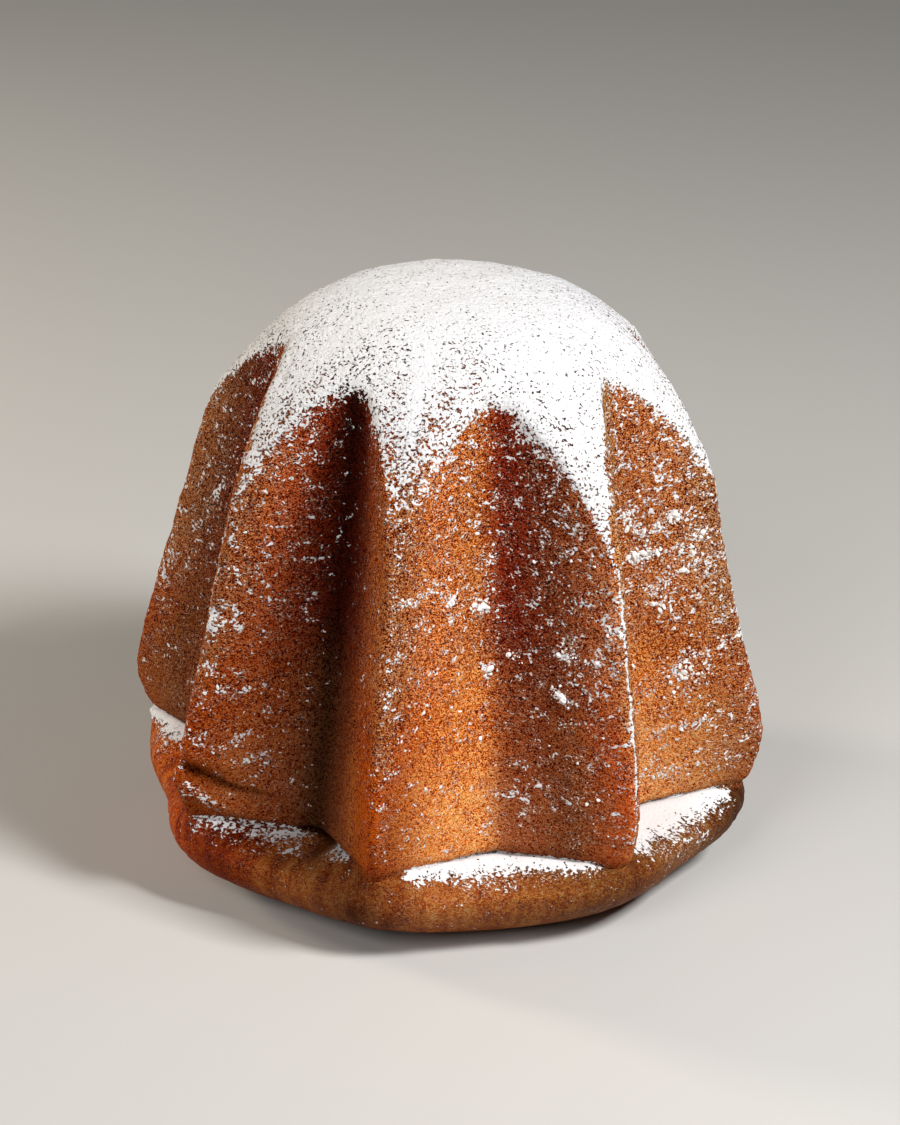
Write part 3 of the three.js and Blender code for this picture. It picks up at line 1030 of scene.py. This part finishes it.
    def face_values(self, name: str) -> Numbers:
        """One size of the sugared faces, for each column, eased over the ridges."""
        places = self.skin.places
        values = np.full(len(places.bearing), float(getattr(self.other_faces, name)))
        for face in self.faces:
            values[self.columns_of(face)] = getattr(face, name)
        before, after = np.roll(values, 1), np.roll(values, -1)
        return ((before + values + after) / 3)[:, None]

    def face_blend(self, name: str, share: Any) -> Numbers:
        """A size of the sugared faces, blended by a share from ridge to valley."""
        return mix(self.face_values(name + "_at_ridge"), self.face_values(name + "_in_valley"), share)

    def columns_of(self, face: FaceSugar | FaceTone) -> Numbers:
        """Which columns of the skin belong to a face."""
        places = self.skin.places
        return (places.ridge == face.ridge) & (places.side == face.side.value)

    def across_faces(self, name: str, shares: tuple[float, ...]) -> Numbers:
        """A row of each face's tones, read from its ridge to its valley.

        Args:
            name: the row's name, such as "redness".
            shares: where each of the row's values holds, from 0 at the ridge to 1 in the valley.

        Returns:
            The value for each column, eased over the ridges and valleys.
        """
        share = self.skin.places.share
        values = np.interp(share, shares, getattr(self.other_tones, name))
        for face in self.face_tones:
            columns = self.columns_of(face)
            values[columns] = np.interp(share[columns], shares, getattr(face, name))
        spread = sum(np.roll(values, step) for step in range(-3, 4))
        return (spread / 7)[:, None]

    def sugar(self) -> Numbers:
        """How much sugar lies at each point: below 0 is bare, and 1 is a closed layer."""
        inward = clamp_share(self.share * self.inward_pace)
        layer_end = self.face_blend("layer_end", inward)
        near_rim = 1 - rise(-self.edge, 2, self.rim_width)
        crown = mix(self.crown_middle, self.face_blend("crown", inward), near_rim)
        wall = self.face_blend("wall", self.share) + 0.10 * hump(self.edge - layer_end, 14)
        wall = wall + 0.05 * hump(self.edge - 45, 20) - 0.1 * rise(self.edge, 70, 20)
        wall = mix(self.bare_lip, wall, rise(-self.down, 1, 9) * (self.down < 0))
        layer = 1 - smooth_step((self.edge - layer_end) / self.layer_fade + 0.5)
        total = mix(wall, crown, layer)
        total = total + self.ridge_lines() + self.patch_sugar * self.patch_sum(self.patches, "sugar")
        for drift in self.drifts:
            total = np.maximum(total, self.drift_field(drift) - self.drift_drop)
        total = total + self.patch_sum(RELIEF_PATCHES, "sugar")
        return mix(self.bare_foot, total, rise(self.skin.height, 4, 8))

    def ridge_lines(self) -> Numbers:
        """The thin lines of sugar that cling along the ridges."""
        places = self.skin.places
        strength = np.array(self.ridge_line_amounts)[places.ridge]
        away = places.share * places.half_pitch * self.skin.form.lip_even_reach
        return (strength * hump(away, 0.5))[:, None] * (self.edge > 0) * (self.down < -12)

    def crumbs(self) -> Numbers:
        """Where loose lumps of sugar cling to the wall."""
        on_wall = rise(-self.down, 4, 10) * rise(self.edge, 6, 8)
        fine = clamp_share(self.face_blend("wall", 0.5))
        return clamp_share(on_wall * (0.04 * fine + self.patch_sum(self.patches, "lumps")))

    def bake(self) -> Numbers:
        """How dark the crust is baked, from 0 to 1."""
        upper = rise(self.skin.height, 95, 70)
        foot = hump(self.down + 12, 24)
        return clamp_share(mix(self.dark_wall + 0.08 * upper - 0.29 * foot, self.dark_lip, self.lip))

    def coarseness(self) -> Numbers:
        """How strong the crust's grain is: full on the upper wall, soft at its foot and on the lip."""
        return mix(1 - 0.35 * rise(self.edge, 50, 50), self.lip_coarseness, self.lip)

    def lip_values(self, name: str) -> Numbers:
        """One size of the lip's tones, for each column."""
        bearings = [math.radians(tone.bearing_deg) for tone in self.lip_tones]
        values = [getattr(tone, name) for tone in self.lip_tones]
        return np.interp(self.skin.places.bearing, bearings, values, period=FULL_TURN)[:, None]

    def redness(self) -> Numbers:
        """How far the crust's colour goes from gold to red-brown, from 0 to 1: partly its own hue and partly
        painted shade colour on the faces in shade.
        """
        foot = 1 - 0.5 * self.share * rise(self.edge, 70, 30)
        wall = self.across_faces("redness", (0.1, 0.7)) * foot + 0.32 * self.ridge_foot()
        return clamp_share(mix(wall, self.lip_values("redness"), self.lip))

    def amber(self) -> Numbers:
        """How far the crust's colour goes to a deep gold without blue, from 0 to 1: partly its own hue and
        partly painted shade colour on the faces in shade.
        """
        lower = rise(self.edge, 45, 35)
        part = mix(0.5 + 0.5 * lower, 1 - 0.75 * lower, self.share)
        wall = self.across_faces("amber", (0.1, 0.5)) * part + 0.45 * self.ridge_foot()
        return clamp_share(mix(wall, self.lip_values("amber"), self.lip))

    def ridge_foot(self) -> Numbers:
        """The lower part of the ridges, where redness and amber deepen the colour, as 1 on a ground of 0."""
        return rise(self.edge, 52, 30) * clamp_share(1 - self.share / 0.32)

    def painted_light_and_shade(self) -> Numbers:
        """Painted light and shade that multiplies the crust's colour: little in the crease and in folds, set
        by face on the wall and by bearing on the lip, where part is the lip's own darker baking.
        """
        # Painted shade in the crease, deepest in the valleys.
        crease = 1 - mix(0.35, 0.75, self.valley) * hump(self.down + 0.8, 1.8)
        # On the lip, by bearing: partly its own darker baking and partly painted light and shade.
        on_lip = mix(self.lip_values("near"), self.lip_values("far"), rise(self.down, 4, 14))
        # Painted shade in the grooves of the folds.
        folds = 1 - clamp_share(self.patch_sum(RELIEF_PATCHES, "dark"))
        # Painted light and shade on the wall by face; low on the wall, valleys are painted lighter and
        # ridges darker.
        foot = 1 + (0.65 * self.valley - 0.22) * rise(self.edge, 78, 28)
        on_wall = foot * self.across_faces("tones", (0.08, 0.35, 0.9))
        return crease * folds * mix(on_wall, on_lip, self.lip)

    def fields(self) -> dict[str, Numbers]:
        """All that the crust's and the sugar's nodes read at each point, by name."""
        return {
            "sugar": self.sugar(),
            "crumbs": self.crumbs(),
            "bake": self.bake(),
            "lip": rise(self.down, -1.5, 3),
            "redness": self.redness(),
            "amber": self.amber(),
            "painted_light_and_shade": self.painted_light_and_shade(),
            "coarseness": self.coarseness(),
        }


# ------------------------------------------------------------------- finishes


@dataclass(frozen=True)
class Finish:
    """A finish made by nodes alone, in object coordinates."""

    name: str
    specular: float

    def material(self) -> bpy.types.Material:
        """Builds the material.

        Returns:
            The material, whose shader is fed by the finish's surface.
        """
        made = bpy.data.materials.new(self.name)
        made.use_nodes = True
        made.node_tree.nodes.clear()
        nodes = NodeBuilder(made.node_tree)
        place = nodes.out("ShaderNodeTexCoord", {}, {}, "Object")
        sockets = self.surface(nodes, place) | {"Specular IOR Level": self.specular}
        shader = nodes.out("ShaderNodeBsdfPrincipled", {}, sockets, "BSDF")
        nodes.node("ShaderNodeOutputMaterial", {}, {"Surface": shader})
        return made

    def surface(self, nodes: NodeBuilder, place: Socket) -> dict[str, Any]:
        """What feeds the shader.

        Args:
            nodes: the tree's builder.
            place: object coordinates.

        Returns:
            A value or socket for each input of the shader, by name.
        """
        raise NotImplementedError

    def bumps(self, nodes: NodeBuilder, height: Socket, strength: float, distance: float) -> Socket:
        """Shading directions of a fine relief, whose unit is a distance in metres."""
        sockets = {"Strength": strength, "Distance": distance, "Height": height}
        return nodes.out("ShaderNodeBump", {}, sockets, "Normal")


@dataclass(frozen=True)
class CrustFinish(Finish):
    """Baked golden-brown crust under powdered sugar, which reads the skin's fields."""

    name: str = "baked_crust"
    specular: float = 0.04
    roughness: float = 0.58
    lip_shine: float = 0.12
    sugar_roughness: float = 0.92
    relief_metres: float = 0.0012
    grain_relief: float = 3.4
    sugar_relief: float = 0.4
    least_contrast: float = 4.0
    dark_contrast: float = 5.0
    thin_clusters: float = 2.0
    thin_curls: float = 2.6
    curl_width: float = 0.07
    stops: tuple[tuple[float, Colour], ...] = (
        (0.00, (1.0, 0.85, 0.60)),
        (0.18, (1.0, 0.72, 0.35)),
        (0.40, (0.95, 0.55, 0.15)),
        (0.62, (0.84, 0.39, 0.05)),
        (0.80, (0.61, 0.20, 0.012)),
        (1.00, (0.34, 0.055, 0.003)),
    )
    # Tints that redness and amber multiply in: partly the crust's own hue and partly painted shade colour.
    red_filter: Colour = (0.96, 0.46, 0.40)
    amber_filter: Colour = (1.0, 0.86, 0.34)
    lip_tint: Colour = (0.60, 0.36, 0.22)
    sugar_colour: Colour = (0.88, 0.88, 0.89)
    thin_sugar_colour: Colour = (0.86, 0.80, 0.74)
    # Painted shade: the near-black of the pores between thick sugar.
    painted_pore_shade: Colour = (0.15, 0.09, 0.06)
    dust_colour: Colour = (1.0, 0.87, 0.74)
    broad: Grain = Grain(42, 3, 0.55, strength=0.55)
    patches: Grain = Grain(190, 4, 0.62)
    grain: Grain = Grain(760, 3, 0.75, 1.2)
    specks: Grain = Grain(1900, 2, 0.7, 1.3, 1.6)
    dusting: Grain = Grain(1350, 2, 0.7, 1.3)
    rays: Grain = Grain(260, 4, 0.6, 0.16, 1.3)
    fibres: Grain = Grain(420, 4, 0.65, 1.4, 2.4)
    flecks: Grain = Grain(950, 2, 0.6, 1.2, 1.9)
    curls: Grain = Grain(430, 1, 0.5, 1.3)
    clusters: Grain = Grain(210, 3, 0.6, 1.4)
    streaks: Grain = Grain(700, 3, 0.6, 0.3, 1.3)

    def surface(self, nodes: NodeBuilder, place: Socket) -> dict[str, Any]:
        """Colour, roughness and relief of crust and sugar.

        Args:
            nodes: the tree's builder.
            place: object coordinates.

        Returns:
            A socket for each input of the shader, by name.
        """
        names = ("sugar", "bake", "lip", "redness", "amber", "painted_light_and_shade", "coarseness")
        read = {n: nodes.out("ShaderNodeAttribute", {"attribute_name": n}, {}, "Fac") for n in names}
        read["flow"] = nodes.out("ShaderNodeAttribute", {"attribute_name": "flow"}, {}, "Vector")
        read["place"] = place
        read["patches"] = nodes.ripple(place, self.patches)
        read["grain"] = nodes.ripple(place, self.grain)
        crust = self.dusted(nodes, read, self.baked(nodes, read))
        mask = self.sugar_mask(nodes, read)
        powder = nodes.blend(mask, linear(self.thin_sugar_colour), linear(self.sugar_colour))
        rough = nodes.ripple(place, self.fibres) + read["grain"] * self.grain_relief
        relief = rough * (1 - read["lip"] * 0.6) * (1 - mask * 0.8) + mask * self.sugar_relief
        bare = self.roughness - read["lip"] * self.lip_shine + read["grain"] * 0.5
        return {
            "Base Color": nodes.blend(mask, crust, powder),
            "Roughness": bare + (self.sugar_roughness - bare) * mask,
            "Normal": self.bumps(nodes, relief, 1.0, self.relief_metres),
        }

    def baked(self, nodes: NodeBuilder, read: dict[str, Socket]) -> Socket:
        """Colour of the bare crust, with painted light and shade multiplied in.

        Args:
            nodes: the tree's builder.
            read: the skin's fields and the shared noises.

        Returns:
            The colour, with its grain at full contrast where the painted shade is dark.
        """
        # depth is the painted light and shade; deep below is how dark that painted shade is, off the lip.
        place, lip, depth = read["place"], read["lip"], read["painted_light_and_shade"]
        tone = read["bake"] + nodes.ripple(place, self.broad) + read["patches"] * 1.1
        tone = tone + nodes.ripple(read["flow"], self.rays) * lip
        deep = (1 - depth).between(0.0, 1.0) * (1 - lip)
        contrast = read["coarseness"] * (deep * self.dark_contrast + self.least_contrast)
        tone = tone - (read["grain"] * 0.95 + nodes.ripple(place, self.specks)) * contrast
        crust = nodes.out("ShaderNodeValToRGB", {"stops": list(self.stops)}, {"Fac": tone}, "Color")
        for name, colour in (("redness", self.red_filter), ("amber", self.amber_filter)):
            crust = nodes.blend(read[name], crust, linear(colour), "MULTIPLY")
        plain = 1 - read["redness"].between(0.1, 0.6)
        crust = nodes.blend(plain * lip * 0.4, crust, linear(self.lip_tint))
        # Painted light and shade multiplied into the crust's colour.
        return nodes.times(crust, depth)

    def dusted(self, nodes: NodeBuilder, read: dict[str, Socket], crust: Socket) -> Socket:
        """The crust with the finest sugar in its grain where painted light is bright, and with painted shade
        in its pores where sugar is thick.

        Args:
            nodes: the tree's builder.
            read: the skin's fields and the shared noises.
            crust: colour of the bare crust.

        Returns:
            The colour that shows between the grains of sugar.
        """
        amount = read["sugar"]
        fine = nodes.noise(read["place"], self.dusting) + read["patches"] * 0.5
        dust = fine.between(0.58, 0.70) * (amount + 0.4).between(0.0, 0.7)
        # Dust shows only where the painted light is bright.
        lit = read["painted_light_and_shade"].between(0.0, 0.6)
        crust = nodes.blend(dust * 0.8 * lit, crust, linear(self.dust_colour))
        # Painted shade in the pores: where sugar is thick, the crust between its grains goes near black.
        return nodes.blend(amount.between(0.45, 0.8) * 0.9, crust, linear(self.painted_pore_shade))

    def sugar_mask(self, nodes: NodeBuilder, read: dict[str, Socket]) -> Socket:
        """Grains of sugar: few where the amount is low, and a closed layer where it is high.

        Args:
            nodes: the tree's builder.
            read: the skin's fields.

        Returns:
            1 on sugar and 0 on bare crust.
        """
        place, amount = read["place"], read["sugar"]
        curl = self.curl_width - nodes.ripple(place, self.curls).size()
        thin = (1 - amount).between(0.15, 0.9)
        clusters = nodes.ripple(place, self.clusters) * (0.3 + thin * self.thin_clusters)
        spread = nodes.ripple(place, self.flecks) + clusters + curl * thin * self.thin_curls
        level = amount - 0.5 + spread + nodes.ripple(read["flow"], self.streaks) * read["lip"]
        return level.between(-0.05, 0.1)


@dataclass(frozen=True)
class SugarFinish(Finish):
    """Loose lumps of powdered sugar."""

    name: str = "sugar_crumb"
    specular: float = 0.2
    colour: Colour = (0.93, 0.93, 0.93)
    shade: Colour = (0.86, 0.85, 0.84)
    grain: Grain = Grain(1500, 3, 0.6)

    def surface(self, nodes: NodeBuilder, place: Socket) -> dict[str, Any]:
        """Matt white with a fine grain."""
        grain = nodes.noise(place, self.grain)
        colour = nodes.blend(grain.between(0.35, 0.6), linear(self.shade), linear(self.colour))
        normal = self.bumps(nodes, grain, 0.6, 0.0004)
        return {"Base Color": colour, "Roughness": 0.95, "Normal": normal}


@dataclass(frozen=True)
class FloorFinish(Finish):
    """Plain pale studio floor."""

    name: str = "studio_floor"
    specular: float = 0.2
    colour: Colour = (0.76, 0.757, 0.75)
    darker_share: float = 0.985
    clouds: Grain = Grain(3, 2, 0.5)

    def surface(self, nodes: NodeBuilder, place: Socket) -> dict[str, Any]:
        """Even paint, very slightly clouded."""
        darker = linear(tuple(c * self.darker_share for c in self.colour))
        colour = nodes.blend(nodes.noise(place, self.clouds), darker, linear(self.colour))
        return {"Base Color": colour, "Roughness": 0.85}


# --------------------------------------------------------------- sub-assemblies


@dataclass
class Loaf:
    """The loaf itself, which stands for the frame's node. Its sizes here are in metres."""

    name: str = "loaf_crust"
    form: LoafForm = field(default_factory=LoafForm)
    steps: SkinSteps = field(default_factory=SkinSteps)
    finish: CrustFinish = field(default_factory=CrustFinish)
    waves: Grain = Grain(55, 2, 0.5, strength=4)
    wave_height: float = 0.00045
    pits: Grain = Grain(230, 3, 0.6, 1.35, 4)
    pit_height: float = 0.00042
    sugar_thickness: float = 0.00025
    relief_from: float = 0.002
    relief_full: float = 0.012

    def unit(self) -> float:
        """Metres in one of the form's millimetres, from the frame's height."""
        low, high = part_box(NODE)
        return (high[2] - low[2]) / self.form.crown_height

    def build(self) -> bpy.types.Object:
        """Builds and dresses the loaf.

        Returns:
            The finished piece, with its attributes for sugar, baking and painted light and shade.
        """
        skin = Skin(self.form, self.steps)
        detail = SkinDetail(skin)
        points = skin.points()
        points = points + skin.normals(points) * detail.relief()[..., None]
        crown, base = np.array([0.0, 0.0, self.form.crown_height]), np.zeros(3)
        grid = np.concatenate([crown[None], points.reshape(-1, 3), base[None]])
        grid = self.centred(grid * self.unit())
        mesh = self.mesh(grid, points.shape[0], points.shape[1])
        self.write_fields(mesh, skin, detail)
        piece = add_object(self.name, mesh)
        material = self.finish.material()
        mesh.materials.append(material)
        self.roughen(piece, material)
        for face in piece.data.polygons:
            face.use_smooth = True
        return piece

    def centred(self, points: Numbers) -> Numbers:
        """The points moved so that their box has the middle of the frame's node."""
        low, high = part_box(NODE)
        target = (np.array(low[:2]) + np.array(high[:2])) / 2
        middle = (points[:, :2].min(axis=0) + points[:, :2].max(axis=0)) / 2
        return points + np.array([*(target - middle), 0.0])

    def mesh(self, points: Numbers, columns: int, rows: int) -> bpy.types.Mesh:
        """A closed mesh of the grid, with a fan at each end.

        Args:
            points: the crown's middle, the grid and the base's middle.
            columns: columns round the loaf.
            rows: rows of each profile.

        Returns:
            The mesh with its faces outward.
        """
        last = len(points) - 1
        column = np.arange(columns)
        following = (column + 1) % columns
        row = np.arange(rows - 1)
        here = 1 + column[:, None] * rows + row[None]
        beside = 1 + following[:, None] * rows + row[None]
        quads = np.stack([here, here + 1, beside + 1, beside], axis=-1).reshape(-1, 4)
        crown = np.stack([0 * column, 1 + column * rows, 1 + following * rows], axis=-1)
        foot = np.stack([0 * column + last, following * rows + rows, column * rows + rows], axis=-1)
        mesh = bpy.data.meshes.new(self.name)
        mesh.from_pydata(points.tolist(), [], [*quads.tolist(), *crown.tolist(), *foot.tolist()])
        mesh.validate()
        return mesh

    def write_fields(self, mesh: bpy.types.Mesh, skin: Skin, detail: SkinDetail) -> None:
        """Stores the detail's fields and the flow along the profiles at each point of the mesh.

        Args:
            mesh: the loaf's mesh.
            skin: the grid that the mesh was made from.
            detail: what holds the fields.
        """
        down = detail.down
        for name, values in detail.fields().items():
            values = np.broadcast_to(values, down.shape)
            ends = (values[:, 0].mean(), values[:, -1].mean())
            flat = np.concatenate([ends[:1], values.reshape(-1), ends[1:]]).astype(np.float32)
            mesh.attributes.new(name, "FLOAT", "POINT").data.foreach_set("value", flat)
        bearing = np.broadcast_to(skin.places.bearing[:, None], down.shape)
        round_reach = self.form.lip_valley_reach
        flow = np.stack([round_reach * np.sin(bearing), round_reach * np.cos(bearing), down], axis=-1)
        flow = np.concatenate([np.zeros((1, 3)), flow.reshape(-1, 3), np.zeros((1, 3))]) * self.unit()
        data = mesh.attributes.new("flow", "FLOAT_VECTOR", "POINT").data
        data.foreach_set("vector", flow.astype(np.float32).reshape(-1))

    def roughen(self, piece: bpy.types.Object, material: bpy.types.Material) -> None:
        """Gives the crust its uneven surface, by nodes that read its own fields.

        Args:
            piece: the loaf, whose mesh is replaced by the finished one.
            material: the crust's material.
        """
        inputs = {"Wave height": "Float", "Pit height": "Float", "Material": "Material"}
        tree, nodes, (geometry, wave, pit, finish) = geometry_tree("crust_relief", inputs)
        place = nodes.out("GeometryNodeInputPosition", {}, {}, 0)
        height = nodes.out("ShaderNodeSeparateXYZ", {}, {0: place}, 2)
        covered = nodes.stored("sugar").between(0.5, 0.95)
        waves = nodes.ripple(place, self.waves) * wave
        pits = nodes.ripple(place, self.pits) * pit
        pits = pits * (1 - nodes.stored("lip") * 0.6) * (1 - covered * 0.45)
        above_base = height.between(self.relief_from, self.relief_full)
        shift = (waves + pits + covered * self.sugar_thickness) * above_base
        nodes.finish(nodes.pushed(geometry, shift), finish)
        values = {"Wave height": self.wave_height, "Pit height": self.pit_height, "Material": material}
        apply_nodes(piece, tree, values)


@dataclass
class SugarCrumbs:
    """Small lumps of powdered sugar that cling to the crust, scattered by its own field."""

    name: str
    per_square_metre: float
    smallest: float
    largest: float
    flatness: float
    lump_divisions: int
    seed: int
    tilt: float = 0.6
    least_gathered: float = 0.25
    gathering: Grain = Grain(70, 3, 0.6, 1.6)
    unevenness: Grain = Grain(1900, 2, 0.6, strength=1.3)

    def build(self, loaf: bpy.types.Object, material: bpy.types.Material) -> bpy.types.Object:
        """Scatters the lumps over the loaf.

        Args:
            loaf: the piece that carries them, with its crumbs field.
            material: the sugar's material.

        Returns:
            All the lumps as one piece.
        """
        piece = add_object(self.name, loaf.data.copy())
        piece.data.materials.clear()
        piece.data.materials.append(material)
        values = {"Density": self.per_square_metre, "Smallest": self.smallest}
        values |= {"Largest": self.largest, "Seed": self.seed, "Material": material}
        apply_nodes(piece, self.tree(), values)
        return piece

    def tree(self) -> bpy.types.NodeTree:
        """The tree that places, turns and shapes the lumps."""
        inputs = {"Density": "Float", "Smallest": "Float", "Largest": "Float", "Seed": "Int"}
        tree, nodes, given = geometry_tree(self.name, inputs | {"Material": "Material"})
        skin, density, smallest, largest, seed, finish = given
        crumbs = nodes.stored("crumbs")
        place = nodes.out("GeometryNodeInputPosition", {}, {}, 0)
        gathered = nodes.noise(place, self.gathering).between(0.42, 0.66) + self.least_gathered
        spread = {"Mesh": skin, "Density": density * crumbs * gathered, "Seed": seed}
        scatter = nodes.node("GeometryNodeDistributePointsOnFaces", {}, spread)
        points, rotation = (Socket(nodes, scatter.outputs[name]) for name in ("Points", "Rotation"))
        turn = self.random_vector(nodes, (0.0, 0.0, 0.0), (self.tilt, self.tilt, FULL_TURN), seed)
        sockets = {"Rotation": rotation, "Rotate By": turn}
        turned = nodes.out("FunctionNodeRotateRotation", {"rotation_space": "LOCAL"}, sockets, 0)
        sockets = {2: 0.0, 3: 1.0, "Seed": seed}
        chance = nodes.out("FunctionNodeRandomValue", {"data_type": "FLOAT"}, sockets, 1)
        size = (smallest + (largest - smallest) * chance * chance * chance) * (crumbs * 0.95 + 0.75)
        thinnest = (0.7, 0.6, self.flatness * 0.8)
        stretch = self.random_vector(nodes, thinnest, (1.5, 1.0, self.flatness * 1.2), seed)
        round_lump = {"Radius": 1.0, "Subdivisions": self.lump_divisions}
        lump = nodes.out("GeometryNodeMeshIcoSphere", {}, round_lump, 0)
        spread = {"Points": points, "Instance": lump, "Rotation": turned}
        spread |= {"Scale": nodes.times(stretch, size)}
        placed = nodes.out("GeometryNodeInstanceOnPoints", {}, spread, 0)
        realized = nodes.out("GeometryNodeRealizeInstances", {}, {"Geometry": placed}, 0)
        place = nodes.out("GeometryNodeInputPosition", {}, {}, 0)
        push = nodes.ripple(place, self.unevenness) * self.largest
        nodes.finish(nodes.pushed(realized, push), finish)
        return tree

    def random_vector(self, nodes: NodeBuilder, low: Triple, high: Triple, seed: Socket) -> Socket:
        """A vector drawn for each lump, each axis between its lowest and highest value."""
        sockets = {0: low, 1: high, "Seed": seed}
        return nodes.out("FunctionNodeRandomValue", {"data_type": "FLOAT_VECTOR"}, sockets, 0)


# ----------------------------------------------------------------- photo studio


@dataclass(frozen=True)
class PhotoView:
    """The camera, at the photograph's viewing angle. Lengths in metres, pixels of 900 x 1125."""

    elevation_deg: float = 24.0
    roll_deg: float = 1.36
    distance: float = 1.4
    pixels_per_metre: float = 2910.0
    width: float = 900.0
    height: float = 1125.0
    axis_pixel: tuple[float, float] = (446.85, 667.56)
    axis_height: float = 0.05933
    sensor: float = 36.0

    def build(self) -> None:
        """Makes the scene's camera, which looks at what shows in the photograph's middle."""
        data = bpy.data.cameras.new("photo_camera")
        data.sensor_fit = "HORIZONTAL"
        data.sensor_width = self.sensor
        data.lens = self.sensor * self.distance * self.pixels_per_metre / self.width
        data.clip_end = 50
        elevation, roll = math.radians(self.elevation_deg), math.radians(self.roll_deg)
        forward = Vector((0, math.cos(elevation), -math.sin(elevation)))
        upward = Vector((0, math.sin(elevation), math.cos(elevation)))
        right = Vector((1, 0, 0))
        off_x = self.width / 2 - self.axis_pixel[0]
        off_y = self.height / 2 - self.axis_pixel[1]
        across = (math.cos(roll) * off_x + math.sin(roll) * off_y) / self.pixels_per_metre
        up = -(math.cos(roll) * off_y - math.sin(roll) * off_x) / self.pixels_per_metre
        middle = Vector((0, 0, self.axis_height)) + right * across + upward * up
        turned_right = right * math.cos(roll) + upward * math.sin(roll)
        turned_up = upward * math.cos(roll) - right * math.sin(roll)
        camera = add_object("photo_camera", data)
        axes = Matrix((turned_right, turned_up, -forward)).transposed().to_4x4()
        camera.matrix_world = Matrix.Translation(middle - forward * self.distance) @ axes
        bpy.context.scene.camera = camera


class LightRole(Enum):
    """What each lamp of the studio does."""

    KEY = "key"
    FILL = "fill"
    SIDE = "side"


@dataclass(frozen=True)
class Lamp:
    """One soft square lamp, aimed at the loaf."""

    role: LightRole
    bearing_deg: float
    elevation_deg: float
    distance: float
    size: float
    watts: float
    colour: Colour

    def build(self, target: Vector) -> None:
        """Hangs the lamp and aims it.

        Args:
            target: the point that it looks at.
        """
        data = bpy.data.lights.new(f"{self.role.value}_lamp", "AREA")
        data.size = self.size
        data.energy = self.watts
        data.color = self.colour
        bearing, elevation = math.radians(self.bearing_deg), math.radians(self.elevation_deg)
        level = math.cos(elevation)
        away = Vector((level * math.sin(bearing), -level * math.cos(bearing), math.sin(elevation)))
        lamp = add_object(data.name, data)
        lamp.location = target + away * self.distance
        lamp.rotation_euler = away.to_track_quat("Z", "Y").to_euler()


@dataclass
class Studio:
    """Pale floor, soft lamps and an even surround."""

    floor_size: float = 12.0
    surround: Colour = (0.80, 0.81, 0.83)
    surround_strength: float = 0.04
    target: Vector = field(default_factory=lambda: Vector((0, 0, 0.09)))
    floor_finish: FloorFinish = field(default_factory=FloorFinish)
    lamps: tuple[Lamp, ...] = (
        Lamp(LightRole.KEY, 56, 46, 1.2, 0.3, 18.2, (1.0, 0.985, 0.96)),
        Lamp(LightRole.FILL, -26, 33, 1.6, 0.7, 10.5, (1.0, 0.98, 0.96)),
        Lamp(LightRole.SIDE, -111, 18, 1.2, 0.25, 8.5, (1.0, 0.88, 0.70)),
    )

    def build(self) -> None:
        """Lays the floor, lights the loaf and sets how the picture is shown."""
        self.lay_floor()
        for lamp in self.lamps:
            lamp.build(self.target)
        world = bpy.data.worlds.new("studio_surround")
        world.use_nodes = True
        background = world.node_tree.nodes["Background"]
        background.inputs["Color"].default_value = linear(self.surround)
        background.inputs["Strength"].default_value = self.surround_strength
        bpy.context.scene.world = world
        bpy.context.scene.view_settings.view_transform = "Standard"

    def lay_floor(self) -> None:
        """A wide flat floor at the height that the loaf stands on."""
        half = self.floor_size / 2
        level = CAD_BOX[0][2]
        corners = [(-half, -half, level), (half, -half, level), (half, half, level), (-half, half, level)]
        mesh = bpy.data.meshes.new("floor")
        mesh.from_pydata(corners, [], [(0, 1, 2, 3)])
        mesh.materials.append(self.floor_finish.material())
        floor = add_object("floor", mesh)


# -------------------------------------------------------------------- the scene


def report(piece: bpy.types.Object) -> None:
    """Logs a piece's name and how many faces it has."""
    LOG.info("%s: %d faces", piece.name, len(piece.data.polygons))


def main() -> None:
    """Builds the studio and the loaf with its sugar."""
    logging.basicConfig(level=logging.INFO, format="%(name)s %(message)s")
    PhotoView().build()
    Studio().build()

    loaf = Loaf().build()
    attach(loaf, BODY)
    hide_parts(NODE)
    report(loaf)

    sugar_material = SugarFinish().material()
    scatters = (
        SugarCrumbs("sugar_lumps", 1300000, 0.0003, 0.0011, flatness=0.6, lump_divisions=2, seed=5),
        SugarCrumbs("sugar_grains", 2000000, 0.0002, 0.00045, flatness=0.7, lump_divisions=1, seed=9),
    )
    for scatter in scatters:
        piece = scatter.build(loaf, sugar_material)
        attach(piece, BODY)
        report(piece)


if __name__ == "__main__":
    main()
